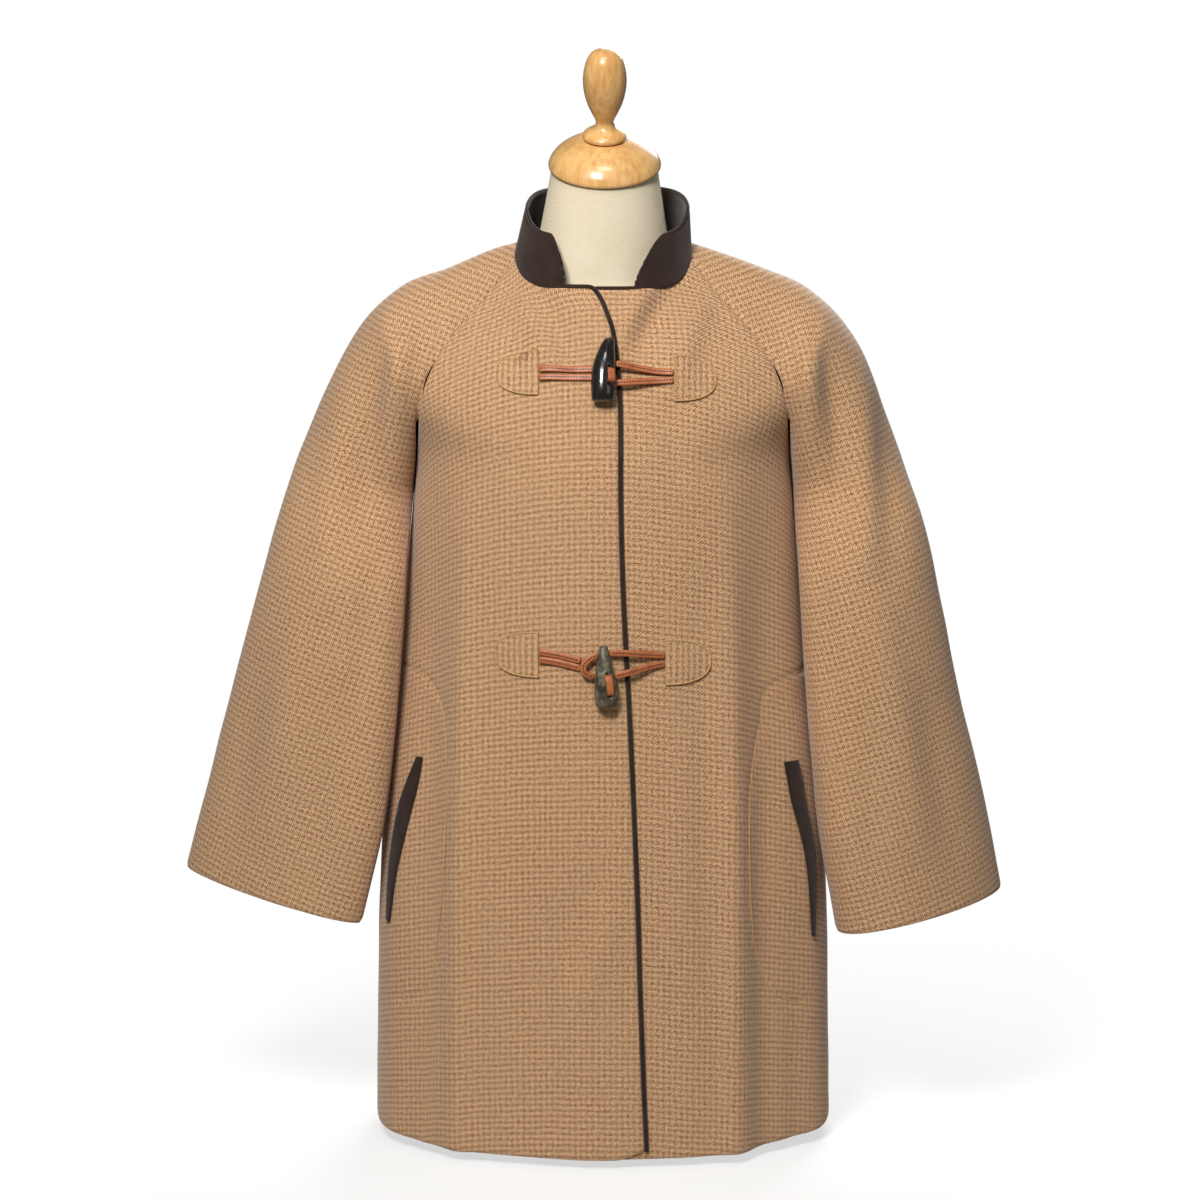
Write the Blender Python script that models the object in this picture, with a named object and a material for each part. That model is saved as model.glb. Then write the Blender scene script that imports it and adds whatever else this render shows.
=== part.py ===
"""Tweed cape coat worn by a limbless dress form on a low round stand.

Metres, +Z up. The coat's front faces -Y, so the wearer's right is at -X. The origin is the middle
of the stand's underside. Each cut piece is a thin wall whose outer face follows rings: round the
body for the fronts and the back, and round the arm for the sleeves. A level says how far down a
ring lies: 0 at the neckline, 1 at the underarm, and 2 at the hem or the cuff.
"""
import math
from collections import namedtuple
from functools import lru_cache

import bmesh
import bpy
from mathutils import Vector

# ---- driving sizes ----
CLOTH = 0.0022             # thickness of the tweed
COLLAR_CLOTH = 0.0030      # two layers of wool
SEAM_GAP = 0.0005          # between pieces that are sewn together
LAP_RISE = 0.0032          # how far the lapping front stands off the front beneath it
LAP_RISE_FROM = -0.080     # x where the lapping front starts to lift
LAP_RISE_TO = -0.038       # x where it has lifted fully
UNDER_EDGE_X = -0.032      # hidden edge of the front that lies beneath
PIPING_WIDTH = 0.0042
PIPING_DEPTH = 0.0036
COLLAR_HEIGHT = 0.050      # beside the throat
BACK_SEAM_GAP = 0.0010     # the back's share, wider because its wall turns at the underarm
COLLAR_GAP = 0.0012        # between the collar and the neckline
PATCH_THICKNESS = 0.0012
WELT_THICKNESS = 0.0018
WELT_GAP = 0.0010          # between a welt, which bends more sharply than a front, and the front
SEAT_GAP = 0.0012          # between the coat's inside and the form's shoulders

# ---- how finely the walls are cut ----
YOKE_LEVELS = (0.0, 0.12, 0.24, 0.36, 0.48, 0.6, 0.7, 0.8, 0.88, 0.95, 1.0)
SKIRT_STEPS = 11
SLEEVE_STEPS = 10
FRONT_COLUMNS = 10
BACK_COLUMNS = 18
SLEEVE_HALF_COLUMNS = 9
SLEEVE_STRIDE = 3          # columns of the sleeve's head between two points of collar or form
NORMAL_STEP = 0.004        # between the levels, and between the places across, that give a normal

# ---- rings round the body ----
# The centre is the middle of the front or back, and the seam is where the panel ends: the raglan
# seam down to level 1, and the side seam below it. Fullness 1 is an ellipse, and less is squarer.
PanelRow = namedtuple("PanelRow", "level centre_z centre_y seam_x seam_y seam_z fullness")

FRONT_ROWS = (
    PanelRow(0.0, 0.8135, -0.075, 0.0835, -0.020, 0.843, 0.80),
    PanelRow(0.2, 0.780, -0.093, 0.106, -0.042, 0.812, 0.88),
    PanelRow(0.4, 0.745, -0.108, 0.135, -0.062, 0.780, 0.90),
    PanelRow(0.6, 0.708, -0.120, 0.159, -0.074, 0.743, 0.85),
    PanelRow(0.8, 0.670, -0.129, 0.172, -0.069, 0.702, 0.85),
    PanelRow(1.0, 0.631, -0.134, 0.180, 0.000, 0.631, 0.85),
    PanelRow(1.15, 0.538, -0.137, 0.1885, 0.000, 0.538, 0.86),
    PanelRow(1.3, 0.445, -0.140, 0.1965, 0.000, 0.445, 0.84),
    PanelRow(1.45, 0.352, -0.143, 0.2075, 0.000, 0.352, 0.80),
    PanelRow(1.6, 0.260, -0.146, 0.2145, 0.000, 0.260, 0.77),
    PanelRow(1.8, 0.136, -0.149, 0.218, 0.000, 0.136, 0.76),
    PanelRow(2.0, 0.009, -0.152, 0.220, 0.000, 0.016, 0.78),
)

BACK_ROWS = (
    PanelRow(0.0, 0.870, 0.070, 0.0622, 0.040, 0.866, 1.00),
    PanelRow(0.2, 0.838, 0.088, 0.094, 0.060, 0.833, 0.95),
    PanelRow(0.4, 0.798, 0.101, 0.131, 0.076, 0.790, 0.90),
    PanelRow(0.6, 0.746, 0.110, 0.157, 0.082, 0.744, 0.85),
    PanelRow(0.8, 0.690, 0.114, 0.173, 0.070, 0.700, 0.85),
    PanelRow(1.0, 0.631, 0.116, 0.180, 0.000, 0.631, 0.85),
    PanelRow(1.15, 0.538, 0.118, 0.1885, 0.000, 0.538, 0.86),
    PanelRow(1.3, 0.445, 0.123, 0.1965, 0.000, 0.445, 0.84),
    PanelRow(1.45, 0.352, 0.130, 0.2075, 0.000, 0.352, 0.80),
    PanelRow(1.6, 0.260, 0.138, 0.2145, 0.000, 0.260, 0.77),
    PanelRow(1.8, 0.136, 0.148, 0.218, 0.000, 0.136, 0.76),
    PanelRow(2.0, 0.009, 0.158, 0.220, 0.000, 0.016, 0.78),
)

# Soft vertical folds that open towards the hem. The angle runs from the middle of the front or
# back, positive towards +X. The depth is at the hem, and a trough's is negative.
Fold = namedtuple("Fold", "angle width depth top_level")

FRONT_FOLDS = (
    Fold(-47, 8, 0.0065, 1.0),
    Fold(-24, 10, -0.0040, 1.2),
    Fold(37, 9, 0.0055, 0.9),
    Fold(60, 7, -0.0040, 1.2),
)
BACK_FOLDS = (
    Fold(-58, 8, 0.0070, 1.0),
    Fold(-34, 8, -0.0070, 0.9),
    Fold(-10, 9, 0.0090, 0.8),
    Fold(16, 8, -0.0075, 0.8),
    Fold(40, 8, 0.0080, 0.9),
    Fold(64, 7, -0.0050, 1.1),
)

# ---- rings round the arms ----
# The outer point is on the shoulder line and then on the outside of the arm. The inner point is on
# the underarm seam. The swells are the reach of the curve that leaves each of them.
SleeveRow = namedtuple(
    "SleeveRow", "level outer_x outer_y outer_z inner_x inner_y inner_z front_swell back_swell")

SLEEVE_ROWS = {
    "right": (
        SleeveRow(0.0, 0.0762, 0.015, 0.8590, 0.180, 0.000, 0.631, 0.012, 0.014),
        SleeveRow(0.2, 0.1074, 0.010, 0.8499, 0.180, 0.000, 0.631, 0.028, 0.030),
        SleeveRow(0.4, 0.1474, 0.008, 0.8329, 0.180, 0.000, 0.631, 0.040, 0.042),
        SleeveRow(0.6, 0.1929, 0.005, 0.8150, 0.180, 0.000, 0.631, 0.050, 0.052),
        SleeveRow(0.8, 0.2386, 0.002, 0.7668, 0.180, 0.000, 0.631, 0.062, 0.064),
        SleeveRow(1.0, 0.2873, 0.000, 0.6640, 0.1806, 0.000, 0.631, 0.080, 0.084),
        SleeveRow(1.2, 0.3072, 0.000, 0.5931, 0.1850, -0.050, 0.5559, 0.079, 0.088),
        SleeveRow(1.4, 0.3293, 0.000, 0.5160, 0.1895, -0.060, 0.4832, 0.074, 0.090),
        SleeveRow(1.6, 0.3524, 0.002, 0.4365, 0.1965, -0.066, 0.3985, 0.068, 0.090),
        SleeveRow(1.8, 0.3765, 0.005, 0.3497, 0.2075, -0.068, 0.3081, 0.062, 0.088),
        SleeveRow(2.0, 0.4018, 0.010, 0.2572, 0.2295, -0.066, 0.2163, 0.060, 0.086),
    ),
    "left": (
        SleeveRow(0.0, 0.0762, 0.015, 0.8590, 0.180, 0.000, 0.631, 0.012, 0.014),
        SleeveRow(0.2, 0.1132, 0.010, 0.8470, 0.180, 0.000, 0.631, 0.028, 0.030),
        SleeveRow(0.4, 0.1512, 0.008, 0.8329, 0.180, 0.000, 0.631, 0.040, 0.042),
        SleeveRow(0.6, 0.1968, 0.005, 0.8121, 0.180, 0.000, 0.631, 0.052, 0.052),
        SleeveRow(0.8, 0.2396, 0.002, 0.7649, 0.180, 0.000, 0.631, 0.068, 0.064),
        SleeveRow(1.0, 0.2835, 0.000, 0.6583, 0.1806, 0.000, 0.631, 0.088, 0.084),
        SleeveRow(1.2, 0.3006, 0.000, 0.5883, 0.1845, -0.050, 0.5578, 0.090, 0.086),
        SleeveRow(1.4, 0.3178, 0.000, 0.5112, 0.1890, -0.060, 0.4784, 0.090, 0.086),
        SleeveRow(1.6, 0.3352, 0.002, 0.4287, 0.1955, -0.066, 0.3937, 0.090, 0.086),
        SleeveRow(1.8, 0.3582, 0.005, 0.3419, 0.2045, -0.068, 0.3033, 0.092, 0.086),
        SleeveRow(2.0, 0.3787, 0.010, 0.2404, 0.2219, -0.066, 0.2085, 0.096, 0.086),
    ),
}
SIDE_SIGN = {"right": -1, "left": 1}
CREASE_FROM_LEVEL = 0.35   # where the sleeve starts to fold away from the body at the seam

# ---- the neckline: a ring that rises towards the back ----
NECK_HALF_WIDTH = 0.0835
NECK_WIDEST_Y = -0.020
NECK_BACK_REACH = 0.090
NECK_MIDDLE_Z = 0.853
NECK_SLOPE = 0.44
NECK_ROUNDING = 2.9        # the rise eases off towards the back: metres for each square metre
NECK_POWER = 4.0           # the fronts' neckline is flat in the middle and rises near its seams
NECK_POWER_UNTIL = 0.6     # level where the rings rise evenly, as a square
NECK_RING_UNTIL = 0.15     # level where the sleeve's head has left the ring

# ---- the lapping front's outer edge, piping included ----
EdgeRow = namedtuple("EdgeRow", "z x")
LAP_EDGE = (
    EdgeRow(0.8175, -0.0120),
    EdgeRow(0.8100, -0.0040),
    EdgeRow(0.8010, 0.0015),
    EdgeRow(0.7908, 0.0055),
    EdgeRow(0.7772, 0.0102),
    EdgeRow(0.7390, 0.0156),
    EdgeRow(0.6955, 0.0175),
    EdgeRow(0.6230, 0.0176),
    EdgeRow(0.5320, 0.0202),
    EdgeRow(0.4120, 0.0265),
    EdgeRow(0.2540, 0.0333),
    EdgeRow(0.1600, 0.0361),
    EdgeRow(0.0120, 0.0419),
)
HEM_CORNER_LIFT = 0.008    # the lap's corner at the hem hangs this much higher
HEM_CORNER_WIDTH = 0.030
HEM_CORNER_LEVEL = 1.9     # where the corner starts to lift
PIPING_SIDES = 8
PIPING_NECK_STEPS = 4      # along the lap's neckline
PIPING_CORNER_LEVELS = (0.02, 0.05, 0.085)    # extra rings where the edge turns down the front
PIPING_END_GAP = 0.001     # between the piping's ends and the collar's
UNDER_PIPING_START = -0.0075
UNDER_PIPING_STEPS = 8
UNDER_PIPING_DROP = 0.0005  # lies this much deeper, to pass beneath the lap's piping

# ---- collar ----
COLLAR_ENDS = {"right": -0.0365, "left": 0.0300}    # x of each end at the neckline
COLLAR_LEAN_IN = 0.24
COLLAR_LEAN_FORWARD = 0.15
COLLAR_BACK_LOSS = 0.007   # the stand is this much lower at the middle of the back
COLLAR_CORNER = 0.046      # height lost at each front end, which is cut to a long curve
COLLAR_CORNER_WIDTH = {"right": 0.025, "left": 0.036}
COLLAR_ROWS = 5
COLLAR_FRONT_STEPS = 9
BACK_STRIDE = 2            # columns of the back between two points of the collar

# ---- pockets ----
WeltRow = namedtuple("WeltRow", "z inner_x outer_x")
WELTS = {
    "right": (
        WeltRow(0.3770, 0.1745, 0.1795),
        WeltRow(0.3520, 0.1785, 0.1875),
        WeltRow(0.3300, 0.1830, 0.1935),
        WeltRow(0.2960, 0.1900, 0.1995),
        WeltRow(0.2594, 0.1968, 0.2035),
        WeltRow(0.2170, 0.2020, 0.2052),
    ),
    "left": (
        WeltRow(0.3725, 0.1736, 0.1845),
        WeltRow(0.3550, 0.1765, 0.1880),
        WeltRow(0.3370, 0.1795, 0.1905),
        WeltRow(0.2880, 0.1909, 0.1990),
        WeltRow(0.2480, 0.1958, 0.2012),
        WeltRow(0.2035, 0.1985, 0.2008),
    ),
}
WELT_STEPS = 12

# ---- patches, loops and toggles ----
Patch = namedtuple("Patch", "name straight_x tip_x z height lapped")
PATCHES = (
    Patch("patch_upper_right", -0.0590, -0.0985, 0.7375, 0.0390, True),
    Patch("patch_upper_left", 0.0645, 0.1040, 0.7318, 0.0390, False),
    Patch("patch_lower_right", -0.0590, -0.1000, 0.4810, 0.0420, True),
    Patch("patch_lower_left", 0.0570, 0.0990, 0.4740, 0.0420, False),
)
PATCH_POINTS = 28
PATCH_RINGS = 3
PATCH_SQUARENESS = 2.5

# A loop's route: x and z on the front, and the height of its middle over the front beneath.
LoopPoint = namedtuple("LoopPoint", "x z lift")
LOOPS = {
    "loop_upper_right_a": (
        LoopPoint(-0.0580, 0.7400, 0.0052), LoopPoint(-0.0450, 0.7402, 0.0052),
        LoopPoint(-0.0300, 0.7403, 0.0052), LoopPoint(-0.0160, 0.7404, 0.0052),
        LoopPoint(-0.0030, 0.7405, 0.0048)),
    "loop_upper_right_b": (
        LoopPoint(-0.0580, 0.7330, 0.0052), LoopPoint(-0.0450, 0.7331, 0.0052),
        LoopPoint(-0.0300, 0.7332, 0.0052), LoopPoint(-0.0160, 0.7333, 0.0051),
        LoopPoint(-0.0030, 0.7334, 0.0048)),
    "loop_upper_left_a": (
        LoopPoint(0.0635, 0.7371, 0.0020), LoopPoint(0.0500, 0.7385, 0.0034),
        LoopPoint(0.0350, 0.7408, 0.0064), LoopPoint(0.0220, 0.7428, 0.0088),
        LoopPoint(0.0114, 0.7441, 0.0098)),
    "loop_upper_left_b": (
        LoopPoint(0.0635, 0.7304, 0.0020), LoopPoint(0.0500, 0.7302, 0.0034),
        LoopPoint(0.0350, 0.7292, 0.0064), LoopPoint(0.0220, 0.7280, 0.0088),
        LoopPoint(0.0114, 0.7273, 0.0098)),
    "loop_lower_right_a": (
        LoopPoint(-0.0580, 0.4840, 0.0052), LoopPoint(-0.0450, 0.4822, 0.0052),
        LoopPoint(-0.0320, 0.4795, 0.0052), LoopPoint(-0.0204, 0.4768, 0.0054)),
    "loop_lower_right_b": (
        LoopPoint(-0.0580, 0.4772, 0.0052), LoopPoint(-0.0450, 0.4755, 0.0052),
        LoopPoint(-0.0320, 0.4728, 0.0052), LoopPoint(-0.0206, 0.4698, 0.0054)),
    "loop_lower_left_a": (
        LoopPoint(0.0560, 0.4806, 0.0020), LoopPoint(0.0430, 0.4818, 0.0040),
        LoopPoint(0.0300, 0.4832, 0.0080), LoopPoint(0.0180, 0.4842, 0.0096),
        LoopPoint(0.0056, 0.4846, 0.0100)),
    "loop_lower_left_b": (
        LoopPoint(0.0560, 0.4736, 0.0020), LoopPoint(0.0430, 0.4712, 0.0040),
        LoopPoint(0.0300, 0.4680, 0.0080), LoopPoint(0.0180, 0.4650, 0.0096),
        LoopPoint(0.0104, 0.4632, 0.0100)),
}
LOOP_WIDTH = 0.0062
LOOP_THICKNESS = 0.0022
LOOP_STEPS = 8

# The slip knot where the lower loop's strands meet the toggle.
KNOT_X = -0.0135
KNOT_Z = 0.4725
KNOT_LIFT = 0.0075
KNOT_WIDE, KNOT_DEEP, KNOT_HIGH = 0.0066, 0.0034, 0.0095    # half sizes
KNOT_RINGS = 7
KNOT_SIDES = 12

# A toggle is rings up its length: height from its lower end, shift to +X, half width, half depth.
ToggleRow = namedtuple("ToggleRow", "height shift half_width half_depth")
HORN_ROWS = (
    ToggleRow(0.0000, -0.0005, 0.0080, 0.0060),
    ToggleRow(0.0018, -0.0004, 0.0100, 0.0078),
    ToggleRow(0.0075, 0.0000, 0.0110, 0.0088),
    ToggleRow(0.0185, 0.0000, 0.0112, 0.0088),
    ToggleRow(0.0295, 0.0005, 0.0106, 0.0084),
    ToggleRow(0.0385, 0.0018, 0.0092, 0.0076),
    ToggleRow(0.0475, 0.0036, 0.0070, 0.0062),
    ToggleRow(0.0528, 0.0050, 0.0054, 0.0050),
    ToggleRow(0.0555, 0.0056, 0.0036, 0.0036),
)
ANTLER_ROWS = (
    ToggleRow(0.0000, 0.0010, 0.0070, 0.0060),
    ToggleRow(0.0020, 0.0020, 0.0096, 0.0078),
    ToggleRow(0.0100, 0.0026, 0.0112, 0.0086),
    ToggleRow(0.0200, 0.0020, 0.0104, 0.0084),
    ToggleRow(0.0300, 0.0010, 0.0090, 0.0078),
    ToggleRow(0.0400, 0.0000, 0.0070, 0.0066),
    ToggleRow(0.0500, -0.0004, 0.0050, 0.0050),
    ToggleRow(0.0560, -0.0004, 0.0036, 0.0036),
)
Toggle = namedtuple("Toggle", "name rows x z bow colour roughness")
TOGGLES = (
    Toggle("horn_toggle", HORN_ROWS, 0.0000, 0.7095, 0.0020, (0.012, 0.011, 0.011), 0.12),
    Toggle("antler_toggle", ANTLER_ROWS, 0.0005, 0.4350, 0.0024, (0.075, 0.062, 0.038), 0.45),
)
TOGGLE_CLEARANCE = 0.0004   # between a toggle's back and the front or piping beneath it
TOGGLE_SIDES = 14

# The stretch of a loop that crosses its toggle's face between two holes. The angle is the place on
# the toggle's section: 90 degrees is the middle of its face, and 0 its edge towards +X.
Bridge = namedtuple("Bridge", "name angle z width height")
BRIDGES = (
    Bridge("loop_bridge_upper", math.radians(54), 0.7312, 0.0072, 0.0125),
    Bridge("loop_bridge_lower", math.radians(72), 0.4558, 0.0072, 0.0190),
)
BRIDGE_THICKNESS = 0.0020
BRIDGE_STEPS = 6

# ---- dress form ----
NECK_TILT = math.radians(25)               # the neck's top plane leans forward
CAP_CENTRE = Vector((0.0015, -0.015, 0.9304))
NECK_RADIUS = 0.0500
CAP_EDGE = 0.0030                          # from the widest line down to the neck
NECK_ROOT_INSET = 0.020                    # neck's foot inside the coat's neckline
NECK_STEPS = 4
NECK_EASE = 1.6                            # above 1, the neck widens mostly near its foot
FORM_YOKE_LEVELS = (0.12, 0.24, 0.36, 0.48)
FORM_FRONT_INSET = 0.014                   # extra room at the middle of the chest and back
FORM_FRONT_STEPS = 4                       # from the middle of the chest or back to its seam

# Below the shoulders: rings with a lift at the sides, where the arms would start.
FormRow = namedtuple("FormRow", "z side_lift half_width front back")
FORM_ROWS = (
    FormRow(0.716, 0.074, 0.1740, 0.094, 0.088),
    FormRow(0.690, 0.040, 0.1680, 0.104, 0.091),
    FormRow(0.655, 0.008, 0.1540, 0.109, 0.092),
    FormRow(0.600, 0.000, 0.1400, 0.102, 0.088),
    FormRow(0.550, 0.000, 0.1260, 0.088, 0.082),
    FormRow(0.500, 0.000, 0.1200, 0.082, 0.080),
    FormRow(0.450, 0.000, 0.1270, 0.085, 0.086),
    FormRow(0.390, 0.000, 0.1440, 0.093, 0.098),
    FormRow(0.330, 0.000, 0.1500, 0.097, 0.104),
    FormRow(0.300, 0.000, 0.1490, 0.096, 0.103),
)

# Turned profiles along the neck's axis: radius and height over the cap's widest line.
CAP_PROFILE = ((0.0500, -0.0030), (0.0524, -0.0018), (0.0530, 0.0), (0.0524, 0.0024),
               (0.0500, 0.0072), (0.0450, 0.0130), (0.0380, 0.0182), (0.0300, 0.0222),
               (0.0210, 0.0252), (0.0120, 0.0262))
FINIAL_PROFILE = ((0.0190, 0.0268), (0.0206, 0.0274), (0.0207, 0.0302), (0.0180, 0.0330),
                  (0.0140, 0.0352), (0.0104, 0.0378), (0.0084, 0.0415), (0.0088, 0.0450),
                  (0.0122, 0.0520), (0.0162, 0.0610), (0.0190, 0.0710), (0.0203, 0.0810),
                  (0.0200, 0.0900), (0.0184, 0.0985), (0.0156, 0.1060), (0.0112, 0.1112),
                  (0.0060, 0.1136))
TURNED_SIDES = 28

BASE_RADIUS = 0.100
BASE_HEIGHT = 0.016
BASE_EDGE = 0.003
BASE_SIDES = 40
POLE_RADIUS = 0.016
POLE_SIDES = 20
SHARP_ANGLE = math.radians(45)

# ---- colours, linear ----
TWEED = (0.52, 0.33, 0.17)
BROWN_WOOL = (0.042, 0.024, 0.018)
TAN_LEATHER = (0.40, 0.13, 0.05)
CREAM_CLOTH = (0.85, 0.74, 0.56)
BEECH = (0.76, 0.44, 0.15)
DARK_METAL = (0.10, 0.10, 0.11)


# ---- working out the rings ----
def smoothstep(low, high, value):
    """Rise from 0 at low to 1 at high, flat at both ends."""
    t = min(1.0, max(0.0, (value - low) / (high - low)))
    return t * t * (3 - 2 * t)


@lru_cache(maxsize=None)
def row_at(rows, at):
    """The table's row at any place along its first column, on a smooth curve through the rows."""
    keys = [row[0] for row in rows]
    rising = keys[-1] > keys[0]
    last = len(rows) - 2
    i = 0
    while i < last and (at > keys[i + 1]) == rising and at != keys[i + 1]:
        i += 1
    span = keys[i + 1] - keys[i]
    t = min(1.0, max(0.0, (at - keys[i]) / span))

    def slope(j, column):
        before, after = max(0, j - 1), min(len(rows) - 1, j + 1)
        return (rows[after][column] - rows[before][column]) / (keys[after] - keys[before])

    values = [at]
    for column in range(1, len(rows[0])):
        start, end = rows[i][column], rows[i + 1][column]
        leave, arrive = slope(i, column) * span, slope(i + 1, column) * span
        values.append(start * (1 + 2 * t) * (1 - t) ** 2 + leave * t * (1 - t) ** 2
                      + end * t * t * (3 - 2 * t) + arrive * t * t * (t - 1))
    return type(rows[0])(*values)


@lru_cache(maxsize=None)
def panel_ring(rows, level):
    """The row at a level, with the angle and half width of the ring that its seam lies on."""
    row = row_at(rows, level)
    share = min(1.0, max(0.0, row.seam_y / row.centre_y))
    seam_angle = math.acos(share ** (1 / row.fullness))
    return row, seam_angle, row.seam_x / math.sin(seam_angle)


def fold_height(folds, angle, level):
    """How far the folds lift the cloth at an angle in radians."""
    total = 0.0
    for fold in folds:
        off = (math.degrees(angle) - fold.angle) / fold.width
        total += fold.depth * math.exp(-off * off) * smoothstep(fold.top_level, 2.0, level)
    return total


def ring_z(row, across):
    """Height of a ring: it rises from its middle to its seams, mostly near them at the neckline."""
    power = NECK_POWER + (2 - NECK_POWER) * smoothstep(0.0, NECK_POWER_UNTIL, row.level)
    return row.centre_z + (row.seam_z - row.centre_z) * abs(across) ** power


def panel_point(rows, across, level):
    """A point of the front or back: across runs from -1 to 1 between its two seams."""
    row, seam_angle, half_width = panel_ring(rows, level)
    angle = across * seam_angle
    folds = FRONT_FOLDS if row.centre_y < 0 else BACK_FOLDS
    swell = 1 + fold_height(folds, angle, level) / abs(row.centre_y)
    x = half_width * math.sin(angle) * swell
    y = row.centre_y * max(0.0, math.cos(angle)) ** row.fullness * swell
    return Vector((x, y, ring_z(row, across)))


def panel_normal(rows, across, level):
    """The outward direction of the front or back."""
    near, far = max(-1.0, across - NORMAL_STEP), min(1.0, across + NORMAL_STEP)
    above, below = max(0.0, level - NORMAL_STEP), min(2.0, level + NORMAL_STEP)
    along = panel_point(rows, far, level) - panel_point(rows, near, level)
    down = panel_point(rows, across, below) - panel_point(rows, across, above)
    normal = along.cross(down).normalized()
    return normal if rows is BACK_ROWS else -normal


def across_at_x(rows, x, level):
    """How far across the panel an x lies at a level."""
    _, seam_angle, half_width = panel_ring(rows, level)
    return math.asin(max(-1.0, min(1.0, x / half_width))) / seam_angle


def level_at(x, z):
    """The front's level at a place seen from the front."""
    low, high = 0.0, 2.0
    for _ in range(30):
        level = (low + high) / 2
        row, _, _ = panel_ring(FRONT_ROWS, level)
        if ring_z(row, across_at_x(FRONT_ROWS, x, level)) > z:
            low = level
        else:
            high = level
    return level


def lap_rise(x):
    """How far the lapping front stands off the body's rings."""
    return LAP_RISE * smoothstep(LAP_RISE_FROM, LAP_RISE_TO, x)


def front_place(x, level, lapped):
    """A point of a front and its outward direction, at an x and a level."""
    across = across_at_x(FRONT_ROWS, x, level)
    normal = panel_normal(FRONT_ROWS, across, level)
    point = panel_point(FRONT_ROWS, across, level)
    if lapped:
        point = point + normal * lap_rise(x)
    return point, normal


def lap_edge_x(z):
    """The lap's outer edge at a height."""
    return row_at(LAP_EDGE, min(LAP_EDGE[0].z, max(LAP_EDGE[-1].z, z))).x


# ---- rows of points of the cut pieces ----
def skirt_levels():
    return [1 + step / SKIRT_STEPS for step in range(1, SKIRT_STEPS + 1)]


def drawn_in(row, first, last, gap=SEAM_GAP / 2):
    """The row with its ends drawn in by a gap where a seam is."""
    row = list(row)
    if first:
        row[0] = row[0] + (row[1] - row[0]).normalized() * gap
    if last:
        row[-1] = row[-1] + (row[-2] - row[-1]).normalized() * gap
    return row


def right_front_row(level):
    """From the lap's edge to the seam at -X."""
    centre_z = panel_ring(FRONT_ROWS, level)[0].centre_z
    edge = across_at_x(FRONT_ROWS, lap_edge_x(centre_z) - PIPING_WIDTH, level)
    points = []
    for column in range(FRONT_COLUMNS + 1):
        across = edge + (-1 - edge) * column / FRONT_COLUMNS
        point = panel_point(FRONT_ROWS, across, level)
        point = point + panel_normal(FRONT_ROWS, across, level) * lap_rise(point.x)
        near_edge = 1 - smoothstep(0.0, HEM_CORNER_WIDTH, lap_edge_x(centre_z) - point.x)
        point.z += HEM_CORNER_LIFT * near_edge * smoothstep(HEM_CORNER_LEVEL, 2.0, level)
        points.append(point)
    return drawn_in(points, False, True)


def left_front_row(level):
    """From the hidden edge beneath the lap to the seam at +X."""
    edge = across_at_x(FRONT_ROWS, UNDER_EDGE_X, level)
    points = [panel_point(FRONT_ROWS, edge + (1 - edge) * column / FRONT_COLUMNS, level)
              for column in range(FRONT_COLUMNS + 1)]
    return drawn_in(points, False, True)


def back_row(level):
    """From the seam at +X to the seam at -X."""
    points = [panel_point(BACK_ROWS, 1 - 2 * column / BACK_COLUMNS, level)
              for column in range(BACK_COLUMNS + 1)]
    return drawn_in(points, True, True, BACK_SEAM_GAP)


def bezier(start, leave, arrive, end, t):
    return (start * (1 - t) ** 3 + leave * 3 * t * (1 - t) ** 2
            + arrive * 3 * t * t * (1 - t) + end * t ** 3)


def seam_end(rows, sign, level):
    """The raglan seam's point on a panel, the way the panel runs on there, and its normal."""
    point = panel_point(rows, sign, level)
    before = panel_point(rows, sign * 0.99, level)
    return point, (point - before).normalized(), panel_normal(rows, sign, level)


def neck_ring(sign, steps):
    """The sleeve head's stretch of the neckline, from the front seam to the back seam."""
    start, end = FRONT_ROWS[0].seam_y, BACK_ROWS[0].seam_y
    turn = [math.asin((y - NECK_WIDEST_Y) / NECK_BACK_REACH) for y in (start, end)]
    points = []
    for step in range(steps + 1):
        angle = turn[0] + (turn[1] - turn[0]) * step / steps
        y = NECK_WIDEST_Y + NECK_BACK_REACH * math.sin(angle)
        x = sign * (NECK_HALF_WIDTH * math.cos(angle) + SEAM_GAP)
        z = NECK_MIDDLE_Z + NECK_SLOPE * y - NECK_ROUNDING * y * y
        points.append(Vector((x, y, z)))
    points[0].y += SEAM_GAP
    points[-1].y -= SEAM_GAP
    return points


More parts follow.
